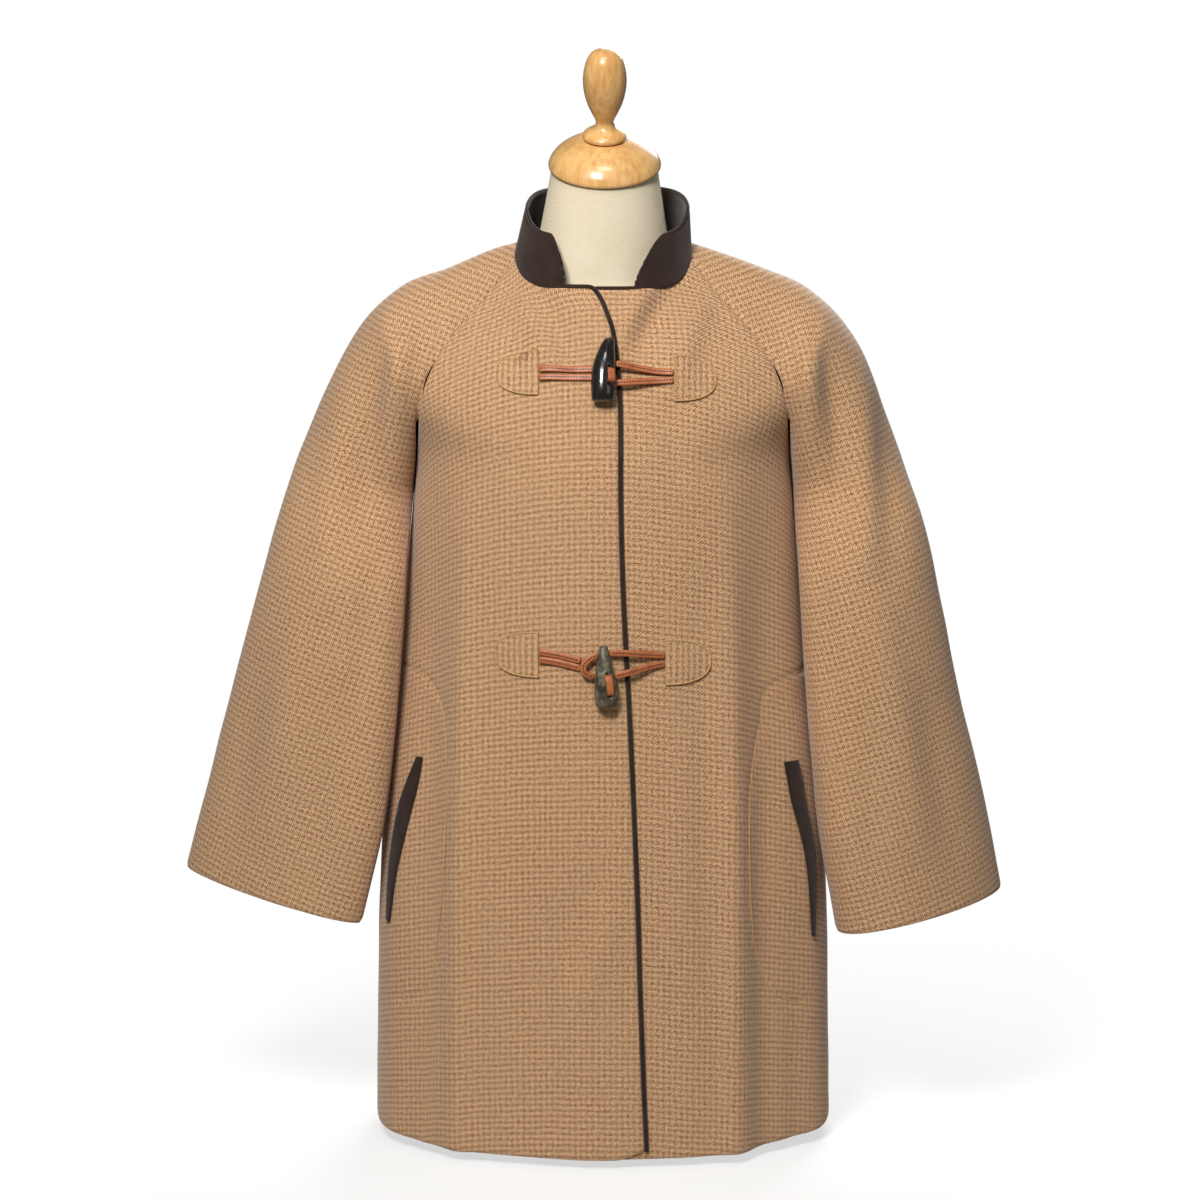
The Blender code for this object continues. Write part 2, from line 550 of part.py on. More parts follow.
def sleeve_row(side, level):
    """From the front of the seam, over the outside of the arm, to the back of the seam."""
    sign = SIDE_SIGN[side]
    row = row_at(SLEEVE_ROWS[side], level)
    outer = Vector((sign * row.outer_x, row.outer_y, row.outer_z))
    inner = Vector((sign * row.inner_x, row.inner_y, row.inner_z))
    chord = (outer - inner).normalized()
    forward = Vector((0, -1, 0))
    forward = (forward - chord * forward.dot(chord)).normalized()
    if level < 1:
        crease = smoothstep(CREASE_FROM_LEVEL, 1.0, level)
        ends = []
        for rows, way in ((FRONT_ROWS, forward), (BACK_ROWS, -forward)):
            point, onward, normal = seam_end(rows, sign, level)
            gap_way = onward.lerp(normal, crease).normalized()
            ends.append((point + gap_way * SEAM_GAP, onward.lerp(way, crease).normalized()))
        (front, front_way), (back, back_way) = ends
    else:
        front = back = inner
        front_way, back_way = Vector((0, -1, 0)), Vector((0, 1, 0))
    points = []
    for column in range(SLEEVE_HALF_COLUMNS + 1):
        t = column / SLEEVE_HALF_COLUMNS
        points.append(bezier(front, front + front_way * row.front_swell,
                             outer + forward * row.front_swell, outer, t))
    for column in range(1, SLEEVE_HALF_COLUMNS + 1):
        t = column / SLEEVE_HALF_COLUMNS
        points.append(bezier(outer, outer - forward * row.back_swell,
                             back + back_way * row.back_swell, back, t))
    ring_share = 1 - smoothstep(0.0, NECK_RING_UNTIL, level)
    if ring_share:
        head = neck_ring(sign, len(points) - 1)
        points = [point.lerp(on_ring, ring_share) for point, on_ring in zip(points, head)]
    return points


def sleeve_levels():
    return list(YOKE_LEVELS) + [1 + step / SLEEVE_STEPS for step in range(1, SLEEVE_STEPS + 1)]


# ---- making objects ----
def clear_scene():
    for obj in list(bpy.data.objects):
        bpy.data.objects.remove(obj, do_unlink=True)


def material(name, colour, roughness, metallic=0.0):
    found = bpy.data.materials.get(name)
    if found:
        return found
    made = bpy.data.materials.new(name)
    made.use_nodes = True
    shader = made.node_tree.nodes["Principled BSDF"]
    shader.inputs["Base Color"].default_value = (*colour, 1)
    shader.inputs["Roughness"].default_value = roughness
    shader.inputs["Metallic"].default_value = metallic
    return made


def add_object(name, vertices, faces, look):
    mesh = bpy.data.meshes.new(name)
    mesh.from_pydata([tuple(v) for v in vertices], [], faces)
    mesh.materials.append(look)
    mesh.shade_smooth()
    obj = bpy.data.objects.new(name, mesh)
    bpy.context.scene.collection.objects.link(obj)
    return obj


def thicken(obj, thickness):
    """Give an outer face a wall that reaches inwards."""
    wall = obj.modifiers.new("wall", "SOLIDIFY")
    wall.thickness = thickness
    wall.offset = -1


def add_sheet(name, rows, look, thickness, flip=False, joined_from=None):
    """A wall from rows of points. From the row joined_from on, each row closes into a ring."""
    columns = len(rows[0])
    vertices, ids = [], []
    for r, row in enumerate(rows):
        closed = joined_from is not None and r >= joined_from
        line = []
        for point in row[:-1] if closed else row:
            line.append(len(vertices))
            vertices.append(point)
        ids.append(line + [line[0]] if closed else line)
    faces = []
    for upper, lower in zip(ids, ids[1:]):
        for c in range(columns - 1):
            face = [upper[c], lower[c], lower[c + 1], upper[c + 1]]
            faces.append(face[::-1] if flip else face)
    thicken(add_object(name, vertices, faces, look), thickness)


def add_loft(name, rings, look):
    """A solid through closed rings, with a flat cap at each end."""
    count = len(rings[0])
    vertices = [point for ring in rings for point in ring]
    faces = [list(range(count))]
    for r in range(len(rings) - 1):
        for c in range(count):
            after = (c + 1) % count
            a, b = r * count, (r + 1) * count
            faces.append([a + after, a + c, b + c, b + after])
    faces.append([(len(rings) - 1) * count + c for c in reversed(range(count))])
    obj = add_object(name, vertices, faces, look)
    shell = bmesh.new()
    shell.from_mesh(obj.data)
    bmesh.ops.recalc_face_normals(shell, faces=shell.faces)
    shell.to_mesh(obj.data)
    shell.free()
    obj.data.set_sharp_from_angle(angle=SHARP_ANGLE)


def add_swept(name, centres, sides, look):
    """A solid along centres. sides gives the section's half widths and directions at each."""
    rings = []
    for centre, (wide, deep) in zip(centres, sides):
        rings.append([centre + wide + deep, centre - wide + deep,
                      centre - wide - deep, centre + wide - deep])
    return add_loft(name, rings, look)


# ---- the coat ----
def make_fronts():
    tweed = material("tweed", TWEED, 0.85)
    levels = list(YOKE_LEVELS) + skirt_levels()
    add_sheet("right_front", [right_front_row(level) for level in levels], tweed, CLOTH, flip=True)
    add_sheet("left_front", [left_front_row(level) for level in levels], tweed, CLOTH)


def make_back():
    levels = list(YOKE_LEVELS) + skirt_levels()
    add_sheet("back", [back_row(level) for level in levels], material("tweed", TWEED, 0.85), CLOTH)


def make_sleeves():
    for side, sign in SIDE_SIGN.items():
        rows = [sleeve_row(side, level) for level in sleeve_levels()]
        add_sheet(side + "_sleeve", rows, material("tweed", TWEED, 0.85), CLOTH,
                  flip=sign < 0, joined_from=YOKE_LEVELS.index(1.0))


def neckline():
    """The neckline from the right front's collar end, round the back, to the left front's."""
    points = []
    right_end = across_at_x(FRONT_ROWS, COLLAR_ENDS["right"], 0.0)
    left_end = across_at_x(FRONT_ROWS, COLLAR_ENDS["left"], 0.0)
    for step in range(COLLAR_FRONT_STEPS):
        across = right_end + (-1 - right_end) * step / COLLAR_FRONT_STEPS
        point = panel_point(FRONT_ROWS, across, 0.0)
        points.append(point + panel_normal(FRONT_ROWS, across, 0.0) * lap_rise(point.x))
    points += sleeve_row("right", 0.0)[::SLEEVE_STRIDE]
    points += back_row(0.0)[::-1][1:-1:BACK_STRIDE]
    points += sleeve_row("left", 0.0)[::-SLEEVE_STRIDE]
    for step in range(1, COLLAR_FRONT_STEPS + 1):
        across = 1 + (left_end - 1) * step / COLLAR_FRONT_STEPS
        points.append(panel_point(FRONT_ROWS, across, 0.0))
    return points


def make_collar():
    """A stand round the neck, open at the throat, with its front ends cut to a curve."""
    base = neckline()
    run = [0.0]
    for before, after in zip(base, base[1:]):
        run.append(run[-1] + (after - before).length)
    rows = []
    for r in range(COLLAR_ROWS + 1):
        row = []
        for point, place in zip(base, run):
            inward = Vector((-point.x, -point.y, 0)).normalized()
            way = (Vector((0, -COLLAR_LEAN_FORWARD, 1)) + inward * COLLAR_LEAN_IN).normalized()
            side = "right" if place < run[-1] / 2 else "left"
            from_end = min(place, run[-1] - place)
            near = max(0.0, 1 - from_end / COLLAR_CORNER_WIDTH[side])
            loss = COLLAR_BACK_LOSS * math.sin(math.pi * place / run[-1]) ** 2
            height = COLLAR_HEIGHT - loss - COLLAR_CORNER * near ** 2
            row.append(point + way * (COLLAR_GAP + height * r / COLLAR_ROWS))
        rows.append(row)
    add_sheet("collar", rows, material("brown_wool", BROWN_WOOL, 0.9), COLLAR_CLOTH)


def piping_ring(edge, normal, outward):
    """The rounded section of the piping just outside a panel's edge."""
    centre = edge + outward * (SEAM_GAP + PIPING_WIDTH / 2) - normal * CLOTH / 2
    ring = []
    for i in range(PIPING_SIDES):
        angle = 2 * math.pi * (i + 0.5) / PIPING_SIDES
        ring.append(centre + outward * math.cos(angle) * PIPING_WIDTH / 2
                    + normal * math.sin(angle) * PIPING_DEPTH / 2)
    return ring


def make_lap_piping():
    """Along the lap's neckline from the collar, round the corner and down to the hem."""
    places = []
    collar_end = COLLAR_ENDS["right"] + PIPING_END_GAP
    corner = lap_edge_x(FRONT_ROWS[0].centre_z) - PIPING_WIDTH
    for step in range(PIPING_NECK_STEPS):
        x = collar_end + (corner - collar_end) * step / PIPING_NECK_STEPS
        places.append(front_place(x, 0.0, True))
    for level in [0.0, *PIPING_CORNER_LEVELS, *YOKE_LEVELS[1:], *skirt_levels()]:
        edge = right_front_row(level)[0]
        point, normal = front_place(edge.x, level, True)
        point.z = edge.z
        places.append((point, normal))
    rings = []
    for i, (point, normal) in enumerate(places):
        before, after = places[max(0, i - 1)][0], places[min(len(places) - 1, i + 1)][0]
        outward = normal.cross(after - before).normalized()
        rings.append(piping_ring(point, normal, outward))
    add_loft("lap_piping", rings, material("brown_wool", BROWN_WOOL, 0.9))


def make_neck_piping():
    """Along the neckline of the front beneath, from the lap to the collar."""
    end = COLLAR_ENDS["left"] - PIPING_END_GAP
    rings = []
    for step in range(UNDER_PIPING_STEPS + 1):
        x = UNDER_PIPING_START + (end - UNDER_PIPING_START) * step / UNDER_PIPING_STEPS
        point, normal = front_place(x, 0.0, False)
        point = point - normal * UNDER_PIPING_DROP
        rings.append(piping_ring(point, normal, normal.cross(Vector((1, 0, 0))).normalized()))
    add_loft("neck_piping", rings, material("brown_wool", BROWN_WOOL, 0.9))


def make_welts():
    for side, table in WELTS.items():
        sign = SIDE_SIGN[side]
        rows = []
        for step in range(WELT_STEPS + 1):
            z = table[0].z + (table[-1].z - table[0].z) * step / WELT_STEPS
            welt = row_at(table, z)
            row = []
            for share in (0.0, 0.5, 1.0):
                x = sign * (welt.inner_x + (welt.outer_x - welt.inner_x) * share)
                point, normal = front_place(x, level_at(x, z), False)
                row.append(point + normal * (WELT_GAP + WELT_THICKNESS))
            rows.append(row)
        add_sheet(side + "_pocket_welt", rows, material("brown_wool", BROWN_WOOL, 0.9),
                  WELT_THICKNESS, flip=sign < 0)


def patch_outline(patch):
    """A letter D lying on its side: straight at one end and round at the other."""
    points = []
    straight = PATCH_POINTS // 4
    for i in range(straight):
        points.append((patch.straight_x, patch.z + patch.height * (i / straight - 0.5)))
    rounded = PATCH_POINTS - straight
    for i in range(rounded):
        angle = math.pi / 2 - math.pi * i / rounded
        reach = abs(math.cos(angle)) ** (2 / PATCH_SQUARENESS)
        rise = math.copysign(abs(math.sin(angle)) ** (2 / PATCH_SQUARENESS), math.sin(angle))
        points.append((patch.straight_x + (patch.tip_x - patch.straight_x) * reach,
                       patch.z + patch.height / 2 * rise))
    return points


def make_patches():
    for patch in PATCHES:
        centre = ((patch.straight_x + patch.tip_x) / 2, patch.z)
        flat = [centre]
        for ring in range(1, PATCH_RINGS + 1):
            share = ring / PATCH_RINGS
            flat += [(centre[0] + (x - centre[0]) * share, centre[1] + (z - centre[1]) * share)
                     for x, z in patch_outline(patch)]
        vertices = []
        for x, z in flat:
            point, normal = front_place(x, level_at(x, z), patch.lapped)
            vertices.append(point + normal * (SEAM_GAP + PATCH_THICKNESS))
        faces = []
        for c in range(PATCH_POINTS):
            after = (c + 1) % PATCH_POINTS
            faces.append([0, 1 + c, 1 + after])
            for ring in range(PATCH_RINGS - 1):
                a, b = 1 + ring * PATCH_POINTS, 1 + (ring + 1) * PATCH_POINTS
                faces.append([a + c, b + c, b + after, a + after])
        if patch.tip_x > 0:
            faces = [face[::-1] for face in faces]
        obj = add_object(patch.name, vertices, faces, material("tweed", TWEED, 0.85))
        thicken(obj, PATCH_THICKNESS)


def loop_frame(x, z, lift):
    """A point at a height over the front, and the front's outward direction there."""
    point, normal = front_place(x, level_at(x, z), False)
    return point + normal * lift, normal


def make_loops():
    leather = material("tan_leather", TAN_LEATHER, 0.5)
    for name, route in LOOPS.items():
        table = tuple(route)
        centres, normals = [], []
        for step in range(LOOP_STEPS + 1):
            x = table[0].x + (table[-1].x - table[0].x) * step / LOOP_STEPS
            place = row_at(table, x)
            centre, normal = loop_frame(x, place.z, place.lift)
            centres.append(centre)
            normals.append(normal)
        sides = []
        for i, normal in enumerate(normals):
            along = centres[min(LOOP_STEPS, i + 1)] - centres[max(0, i - 1)]
            wide = along.cross(normal).normalized() * LOOP_WIDTH / 2
            sides.append((wide, normal * LOOP_THICKNESS / 2))
        add_swept(name, centres, sides, leather)


def make_knot():
    """A flattened knob of leather where the lower loop tightens behind the antler."""
    centre, normal = loop_frame(KNOT_X, KNOT_Z, KNOT_LIFT)
    across = Vector((1, 0, 0))
    upward = normal.cross(across).normalized()
    rings = []
    for i in range(1, KNOT_RINGS + 1):
        angle = math.pi * i / (KNOT_RINGS + 1)
        ring_centre = centre + upward * math.cos(angle) * KNOT_HIGH
        wide, deep = across * KNOT_WIDE * math.sin(angle), normal * KNOT_DEEP * math.sin(angle)
        rings.append([ring_centre + wide * math.cos(a) + deep * math.sin(a)
                      for a in (2 * math.pi * k / KNOT_SIDES for k in range(KNOT_SIDES))])
    add_loft("loop_knot", rings, material("tan_leather", TAN_LEATHER, 0.5))


def toggle_back_lift():
    """How high a toggle's back lies over the body's rings: just clear of lap and piping."""
    return LAP_RISE + (PIPING_DEPTH - CLOTH) / 2 + TOGGLE_CLEARANCE


def toggle_section(toggle, height):
    """At a height over a toggle's lower end: the row, the section's centre and the outward
    direction of the front beneath."""
    row = row_at(toggle.rows, height)
    bow = toggle.bow * (1 - (2 * height / toggle.rows[-1].height - 1) ** 2)
    deepest = max(row.half_depth for row in toggle.rows)
    centre, normal = loop_frame(toggle.x, toggle.z + height, toggle_back_lift() + deepest + bow)
    centre.x += row.shift
    return row, centre, normal


def make_toggles():
    across = Vector((1, 0, 0))
    for toggle in TOGGLES:
        rings = []
        for height in [row.height for row in toggle.rows]:
            row, centre, normal = toggle_section(toggle, height)
            rings.append([centre + across * math.cos(a) * row.half_width
                          + normal * math.sin(a) * row.half_depth
                          for a in (2 * math.pi * k / TOGGLE_SIDES for k in range(TOGGLE_SIDES))])
        add_loft(toggle.name, rings, material(toggle.name, toggle.colour, toggle.roughness))


def make_bridges():
    """Each lies flat against its toggle's section at the bridge's angle."""
    across = Vector((1, 0, 0))
    for bridge, toggle in zip(BRIDGES, TOGGLES):
        c, s = math.cos(bridge.angle), math.sin(bridge.angle)
        centres, sides = [], []
        for step in range(BRIDGE_STEPS + 1):
            height = bridge.z + bridge.height * (step / BRIDGE_STEPS - 0.5) - toggle.z
            row, centre, normal = toggle_section(toggle, height)
            out = (across * c / row.half_width + normal * s / row.half_depth).normalized()
            wide = (across * s * row.half_width - normal * c * row.half_depth).normalized()
            face = centre + across * c * row.half_width + normal * s * row.half_depth
            centres.append(face + out * (BRIDGE_THICKNESS / 2 + SEAM_GAP))
            sides.append((wide * bridge.width / 2, out * BRIDGE_THICKNESS / 2))
        add_swept(bridge.name, centres, sides, material("tan_leather", TAN_LEATHER, 0.5))


# ---- the dress form ----
def coat_ring(level):
    """All round the coat's yoke from the middle of the front: each place's point, its outward
    direction, and how near it is to the middle of the chest or back, from 0 to 1."""
    ring = []
    for side in ("left", "right"):
        sign = SIDE_SIGN[side]
        half = []
        for step in range(FORM_FRONT_STEPS):
            share = step / FORM_FRONT_STEPS
            half.append((panel_point(FRONT_ROWS, sign * share, level),
                         panel_normal(FRONT_ROWS, sign * share, level), 1 - share / 2))
        above, row, below = (sleeve_row(side, level + d) for d in (-NORMAL_STEP, 0, NORMAL_STEP))
        for c in range(0, len(row), SLEEVE_STRIDE):
            along = row[min(len(row) - 1, c + 1)] - row[max(0, c - 1)]
            normal = (below[c] - above[c]).cross(along).normalized() * sign
            from_top = abs(c - SLEEVE_HALF_COLUMNS) / SLEEVE_HALF_COLUMNS
            half.append((row[c], normal, from_top ** 2 / 2))
        for step in range(1, FORM_FRONT_STEPS + 1):
            share = 1 - step / FORM_FRONT_STEPS
            half.append((panel_point(BACK_ROWS, sign * share, level),
                         panel_normal(BACK_ROWS, sign * share, level), 1 - share / 2))
        ring += half[:-1] if side == "left" else half[:0:-1]
    return ring


def neck_axes():
    """The neck's tilted axis, and the two directions across it."""
    axis = Vector((0, -math.sin(NECK_TILT), math.cos(NECK_TILT)))
    across = Vector((1, 0, 0))
    return axis, across, axis.cross(across)


def make_form():
    axis, across, toward_back = neck_axes()
    top_centre = CAP_CENTRE - axis * (CAP_EDGE + SEAM_GAP)
    root, top = [], []
    for point, _, _ in coat_ring(0.0):
        foot = point - Vector((point.x, point.y, 0)).normalized() * NECK_ROOT_INSET
        angle = math.atan2(foot.y, foot.x)
        root.append(foot)
        top.append(top_centre
                   + (across * math.cos(angle) + toward_back * math.sin(angle)) * NECK_RADIUS)
    rings = []
    for step in range(NECK_STEPS + 1):
        share = (step / NECK_STEPS) ** NECK_EASE
        rings.append([high.lerp(low, share) for high, low in zip(top, root)])
    for level in FORM_YOKE_LEVELS:
        rings.append([point - normal * (CLOTH + SEAT_GAP + FORM_FRONT_INSET * near_middle)
                      for point, normal, near_middle in coat_ring(level)])
    angles = [math.atan2(point.y, point.x) for point in rings[-1]]
    for row in FORM_ROWS:
        ring = []
        for angle in angles:
            depth = row.front if math.sin(angle) < 0 else row.back
            ring.append(Vector((row.half_width * math.cos(angle), depth * math.sin(angle),
                                row.z + row.side_lift * math.cos(angle) ** 2)))
        rings.append(ring)
    add_loft("form_body", rings, material("cream_cloth", CREAM_CLOTH, 0.8))


def turned(name, profile, look):
    """A turned solid on the neck's tilted axis."""
    axis, across, deep = neck_axes()
    rings = []
    for radius, height in profile:
        centre = CAP_CENTRE + axis * height
        rings.append([centre + (across * math.cos(a) + deep * math.sin(a)) * radius
                      for a in (2 * math.pi * k / TURNED_SIDES for k in range(TURNED_SIDES))])
    add_loft(name, rings, look)


def upright(name, profile, sides, look):
    """A turned solid on the stand's upright axis."""
    rings = [[Vector((radius * math.cos(a), radius * math.sin(a), z))
              for a in (2 * math.pi * k / sides for k in range(sides))]
             for radius, z in profile]
    add_loft(name, rings, look)


def make_stand():
    metal = material("dark_metal", DARK_METAL, 0.4, 0.8)
    upright("stand_base", ((BASE_RADIUS, 0.0), (BASE_RADIUS, BASE_HEIGHT - BASE_EDGE),
                           (BASE_RADIUS - BASE_EDGE, BASE_HEIGHT)), BASE_SIDES, metal)
    upright("stand_pole", ((POLE_RADIUS, BASE_HEIGHT + SEAM_GAP),
                           (POLE_RADIUS, FORM_ROWS[-1].z - SEAM_GAP)), POLE_SIDES, metal)


def main():
    clear_scene()
    make_fronts()
    make_back()
    make_sleeves()
    make_collar()
    make_lap_piping()
    make_neck_piping()
    make_welts()
    make_patches()
    make_loops()
    make_knot()
    make_toggles()
    make_bridges()
    make_form()
    beech = material("beech", BEECH, 0.25)
    turned("neck_cap", CAP_PROFILE, beech)
    turned("finial", FINIAL_PROFILE, beech)
    make_stand()


main()
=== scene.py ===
"""The looks of a tweed cape coat worn by a limbless dress form.

Metres, +Z up. The coat's front faces -Y, so the wearer's right is at -X. The walls follow the same
rings as the solids: a level says how far down a ring lies, 0 at the neckline, 1 at the underarm and
2 at the hem or the cuff. Creases, seams, stitches and surfaces are added to them here.
"""
import math
from collections import namedtuple
from functools import lru_cache

import bmesh
import bpy
import numpy as np
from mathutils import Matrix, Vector, noise


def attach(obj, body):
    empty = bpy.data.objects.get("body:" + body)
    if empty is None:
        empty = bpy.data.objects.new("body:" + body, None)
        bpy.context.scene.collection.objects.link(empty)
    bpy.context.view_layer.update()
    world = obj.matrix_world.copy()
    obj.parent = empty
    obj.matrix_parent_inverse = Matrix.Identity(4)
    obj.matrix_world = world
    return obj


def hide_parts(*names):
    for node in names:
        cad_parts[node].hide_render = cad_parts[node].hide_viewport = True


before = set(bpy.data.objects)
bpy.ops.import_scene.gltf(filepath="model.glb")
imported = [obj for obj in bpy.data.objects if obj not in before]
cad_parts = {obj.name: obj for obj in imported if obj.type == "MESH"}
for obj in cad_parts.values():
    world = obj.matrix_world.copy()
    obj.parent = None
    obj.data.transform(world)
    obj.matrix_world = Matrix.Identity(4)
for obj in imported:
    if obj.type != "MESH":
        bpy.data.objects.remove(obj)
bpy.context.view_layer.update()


def table(kind, *rows):
    """A table whose rows have named columns."""
    return tuple(kind(*row) for row in rows)


# ---- sizes of the solids ----
CLOTH = 0.0022             # thickness of the tweed
COLLAR_CLOTH = 0.0030      # two layers of wool
SEAM_GAP = 0.0005          # between pieces that are sewn together
LAP_RISE = 0.0032          # how far the lapping front stands off the front beneath it
LAP_RISE_FROM = -0.080     # x where the lapping front starts to lift
LAP_RISE_TO = -0.038       # x where it has lifted fully
UNDER_EDGE_X = -0.032      # hidden edge of the front that lies beneath
PIPING_WIDTH = 0.0042
PIPING_DEPTH = 0.0036
COLLAR_HEIGHT = 0.050      # beside the throat
BACK_SEAM_GAP = 0.0010     # the back's share, wider because its wall turns at the underarm
PATCH_THICKNESS = 0.0012
WELT_THICKNESS = 0.0018
WELT_GAP = 0.0010          # between a welt, which bends more sharply than a front, and the front
SEAT_GAP = 0.0012          # between the coat's inside and the form's shoulders

NORMAL_STEP = 0.004        # between the levels, and between the places across, that give a normal
LEVEL_ROUNDS = 18          # halvings that find the level of a place
SEAM_NEAR = 0.99           # a place across a panel just inside its seam
TINY = 1e-12               # keeps a vector without length from being divided by 0

# ---- rings round the body ----
# The centre is the middle of the front or back, and the seam is where the panel ends: the raglan
# seam down to level 1, and the side seam below it. Fullness 1 is an ellipse, and less is squarer.
PanelRow = namedtuple("PanelRow", "level centre_z centre_y seam_x seam_y seam_z fullness")

FRONT_ROWS = table(
    PanelRow,
    (0.0, 0.8135, -0.075, 0.0835, -0.020, 0.843, 0.80),
    (0.2, 0.780, -0.093, 0.106, -0.042, 0.812, 0.88),
    (0.4, 0.745, -0.108, 0.135, -0.062, 0.780, 0.90),
    (0.6, 0.708, -0.120, 0.159, -0.074, 0.743, 0.85),
    (0.8, 0.670, -0.129, 0.172, -0.069, 0.702, 0.85),
    (1.0, 0.631, -0.134, 0.180, 0.000, 0.631, 0.85),
    (1.15, 0.538, -0.137, 0.1885, 0.000, 0.538, 0.86),
    (1.3, 0.445, -0.140, 0.1965, 0.000, 0.445, 0.84),
    (1.45, 0.352, -0.143, 0.2075, 0.000, 0.352, 0.80),
    (1.6, 0.260, -0.146, 0.2145, 0.000, 0.260, 0.77),
    (1.8, 0.136, -0.149, 0.218, 0.000, 0.136, 0.76),
    (2.0, 0.009, -0.152, 0.220, 0.000, 0.016, 0.78),
)

BACK_ROWS = table(
    PanelRow,
    (0.0, 0.870, 0.070, 0.0622, 0.040, 0.866, 1.00),
    (0.2, 0.838, 0.088, 0.094, 0.060, 0.833, 0.95),
    (0.4, 0.798, 0.101, 0.131, 0.076, 0.790, 0.90),
    (0.6, 0.746, 0.110, 0.157, 0.082, 0.744, 0.85),
    (0.8, 0.690, 0.114, 0.173, 0.070, 0.700, 0.85),
) + tuple(
    row._replace(centre_y=depth)    # below the underarm the back differs in its depth alone
    for row, depth in zip(FRONT_ROWS[5:], (0.116, 0.118, 0.123, 0.130, 0.138, 0.148, 0.158)))

# Soft vertical folds that open towards the hem. The angle runs from the middle of the front or
# back, positive towards +X. The depth is at the hem, and a trough's is negative.
Fold = namedtuple("Fold", "angle width depth top_level")

FRONT_FOLDS = table(
    Fold,
    (-47, 8, 0.0065, 1.0),
    (-24, 10, -0.0040, 1.2),
    (37, 9, 0.0055, 0.9),
    (60, 7, -0.0040, 1.2),
)
BACK_FOLDS = table(
    Fold,
    (-58, 8, 0.0070, 1.0),
    (-34, 8, -0.0070, 0.9),
    (-10, 9, 0.0090, 0.8),
    (16, 8, -0.0075, 0.8),
    (40, 8, 0.0080, 0.9),
    (64, 7, -0.0050, 1.1),
)

# ---- rings round the arms ----
# The outer point is on the shoulder line and then on the outside of the arm. The inner point is on
# the underarm seam. The swells are the reach of the curve that leaves each of them.
SleeveRow = namedtuple(
    "SleeveRow", "level outer_x outer_y outer_z inner_x inner_y inner_z front_swell back_swell")

SLEEVE_ROWS = {
    "right": table(
        SleeveRow,
        (0.0, 0.0762, 0.015, 0.8590, 0.180, 0.000, 0.631, 0.012, 0.014),
        (0.2, 0.1074, 0.010, 0.8499, 0.180, 0.000, 0.631, 0.028, 0.030),
        (0.4, 0.1474, 0.008, 0.8329, 0.180, 0.000, 0.631, 0.040, 0.042),
        (0.6, 0.1929, 0.005, 0.8150, 0.180, 0.000, 0.631, 0.050, 0.052),
        (0.8, 0.2386, 0.002, 0.7668, 0.180, 0.000, 0.631, 0.062, 0.064),
        (1.0, 0.2873, 0.000, 0.6640, 0.1806, 0.000, 0.631, 0.080, 0.084),
        (1.2, 0.3072, 0.000, 0.5931, 0.1850, -0.050, 0.5559, 0.079, 0.088),
        (1.4, 0.3293, 0.000, 0.5160, 0.1895, -0.060, 0.4832, 0.074, 0.090),
        (1.6, 0.3524, 0.002, 0.4365, 0.1965, -0.066, 0.3985, 0.068, 0.090),
        (1.8, 0.3765, 0.005, 0.3497, 0.2075, -0.068, 0.3081, 0.062, 0.088),
        (2.0, 0.4018, 0.010, 0.2572, 0.2295, -0.066, 0.2163, 0.060, 0.086),
    ),
    "left": table(
        SleeveRow,
        (0.0, 0.0762, 0.015, 0.8590, 0.180, 0.000, 0.631, 0.012, 0.014),
        (0.2, 0.1132, 0.010, 0.8470, 0.180, 0.000, 0.631, 0.028, 0.030),
        (0.4, 0.1512, 0.008, 0.8329, 0.180, 0.000, 0.631, 0.040, 0.042),
        (0.6, 0.1968, 0.005, 0.8121, 0.180, 0.000, 0.631, 0.052, 0.052),
        (0.8, 0.2396, 0.002, 0.7649, 0.180, 0.000, 0.631, 0.068, 0.064),
        (1.0, 0.2835, 0.000, 0.6583, 0.1806, 0.000, 0.631, 0.088, 0.084),
        (1.2, 0.3006, 0.000, 0.5883, 0.1845, -0.050, 0.5578, 0.090, 0.086),
        (1.4, 0.3178, 0.000, 0.5112, 0.1890, -0.060, 0.4784, 0.090, 0.086),
        (1.6, 0.3352, 0.002, 0.4287, 0.1955, -0.066, 0.3937, 0.090, 0.086),
        (1.8, 0.3582, 0.005, 0.3419, 0.2045, -0.068, 0.3033, 0.092, 0.086),
        (2.0, 0.3787, 0.010, 0.2404, 0.2219, -0.066, 0.2085, 0.096, 0.086),
    ),
}
SIDE_SIGN = {"right": -1, "left": 1}
CREASE_FROM_LEVEL = 0.35   # where the sleeve starts to fold away from the body at the seam

# ---- the neckline: a ring that rises towards the back ----
NECK_HALF_WIDTH = 0.0835
NECK_WIDEST_Y = -0.020
NECK_BACK_REACH = 0.090
NECK_MIDDLE_Z = 0.853
NECK_SLOPE = 0.44
NECK_ROUNDING = 2.9        # the rise eases off towards the back: metres for each square metre
NECK_POWER = 4.0           # the fronts' neckline is flat in the middle and rises near its seams
NECK_POWER_UNTIL = 0.6     # level where the rings rise evenly, as a square
NECK_RING_UNTIL = 0.15     # level where the sleeve's head has left the ring

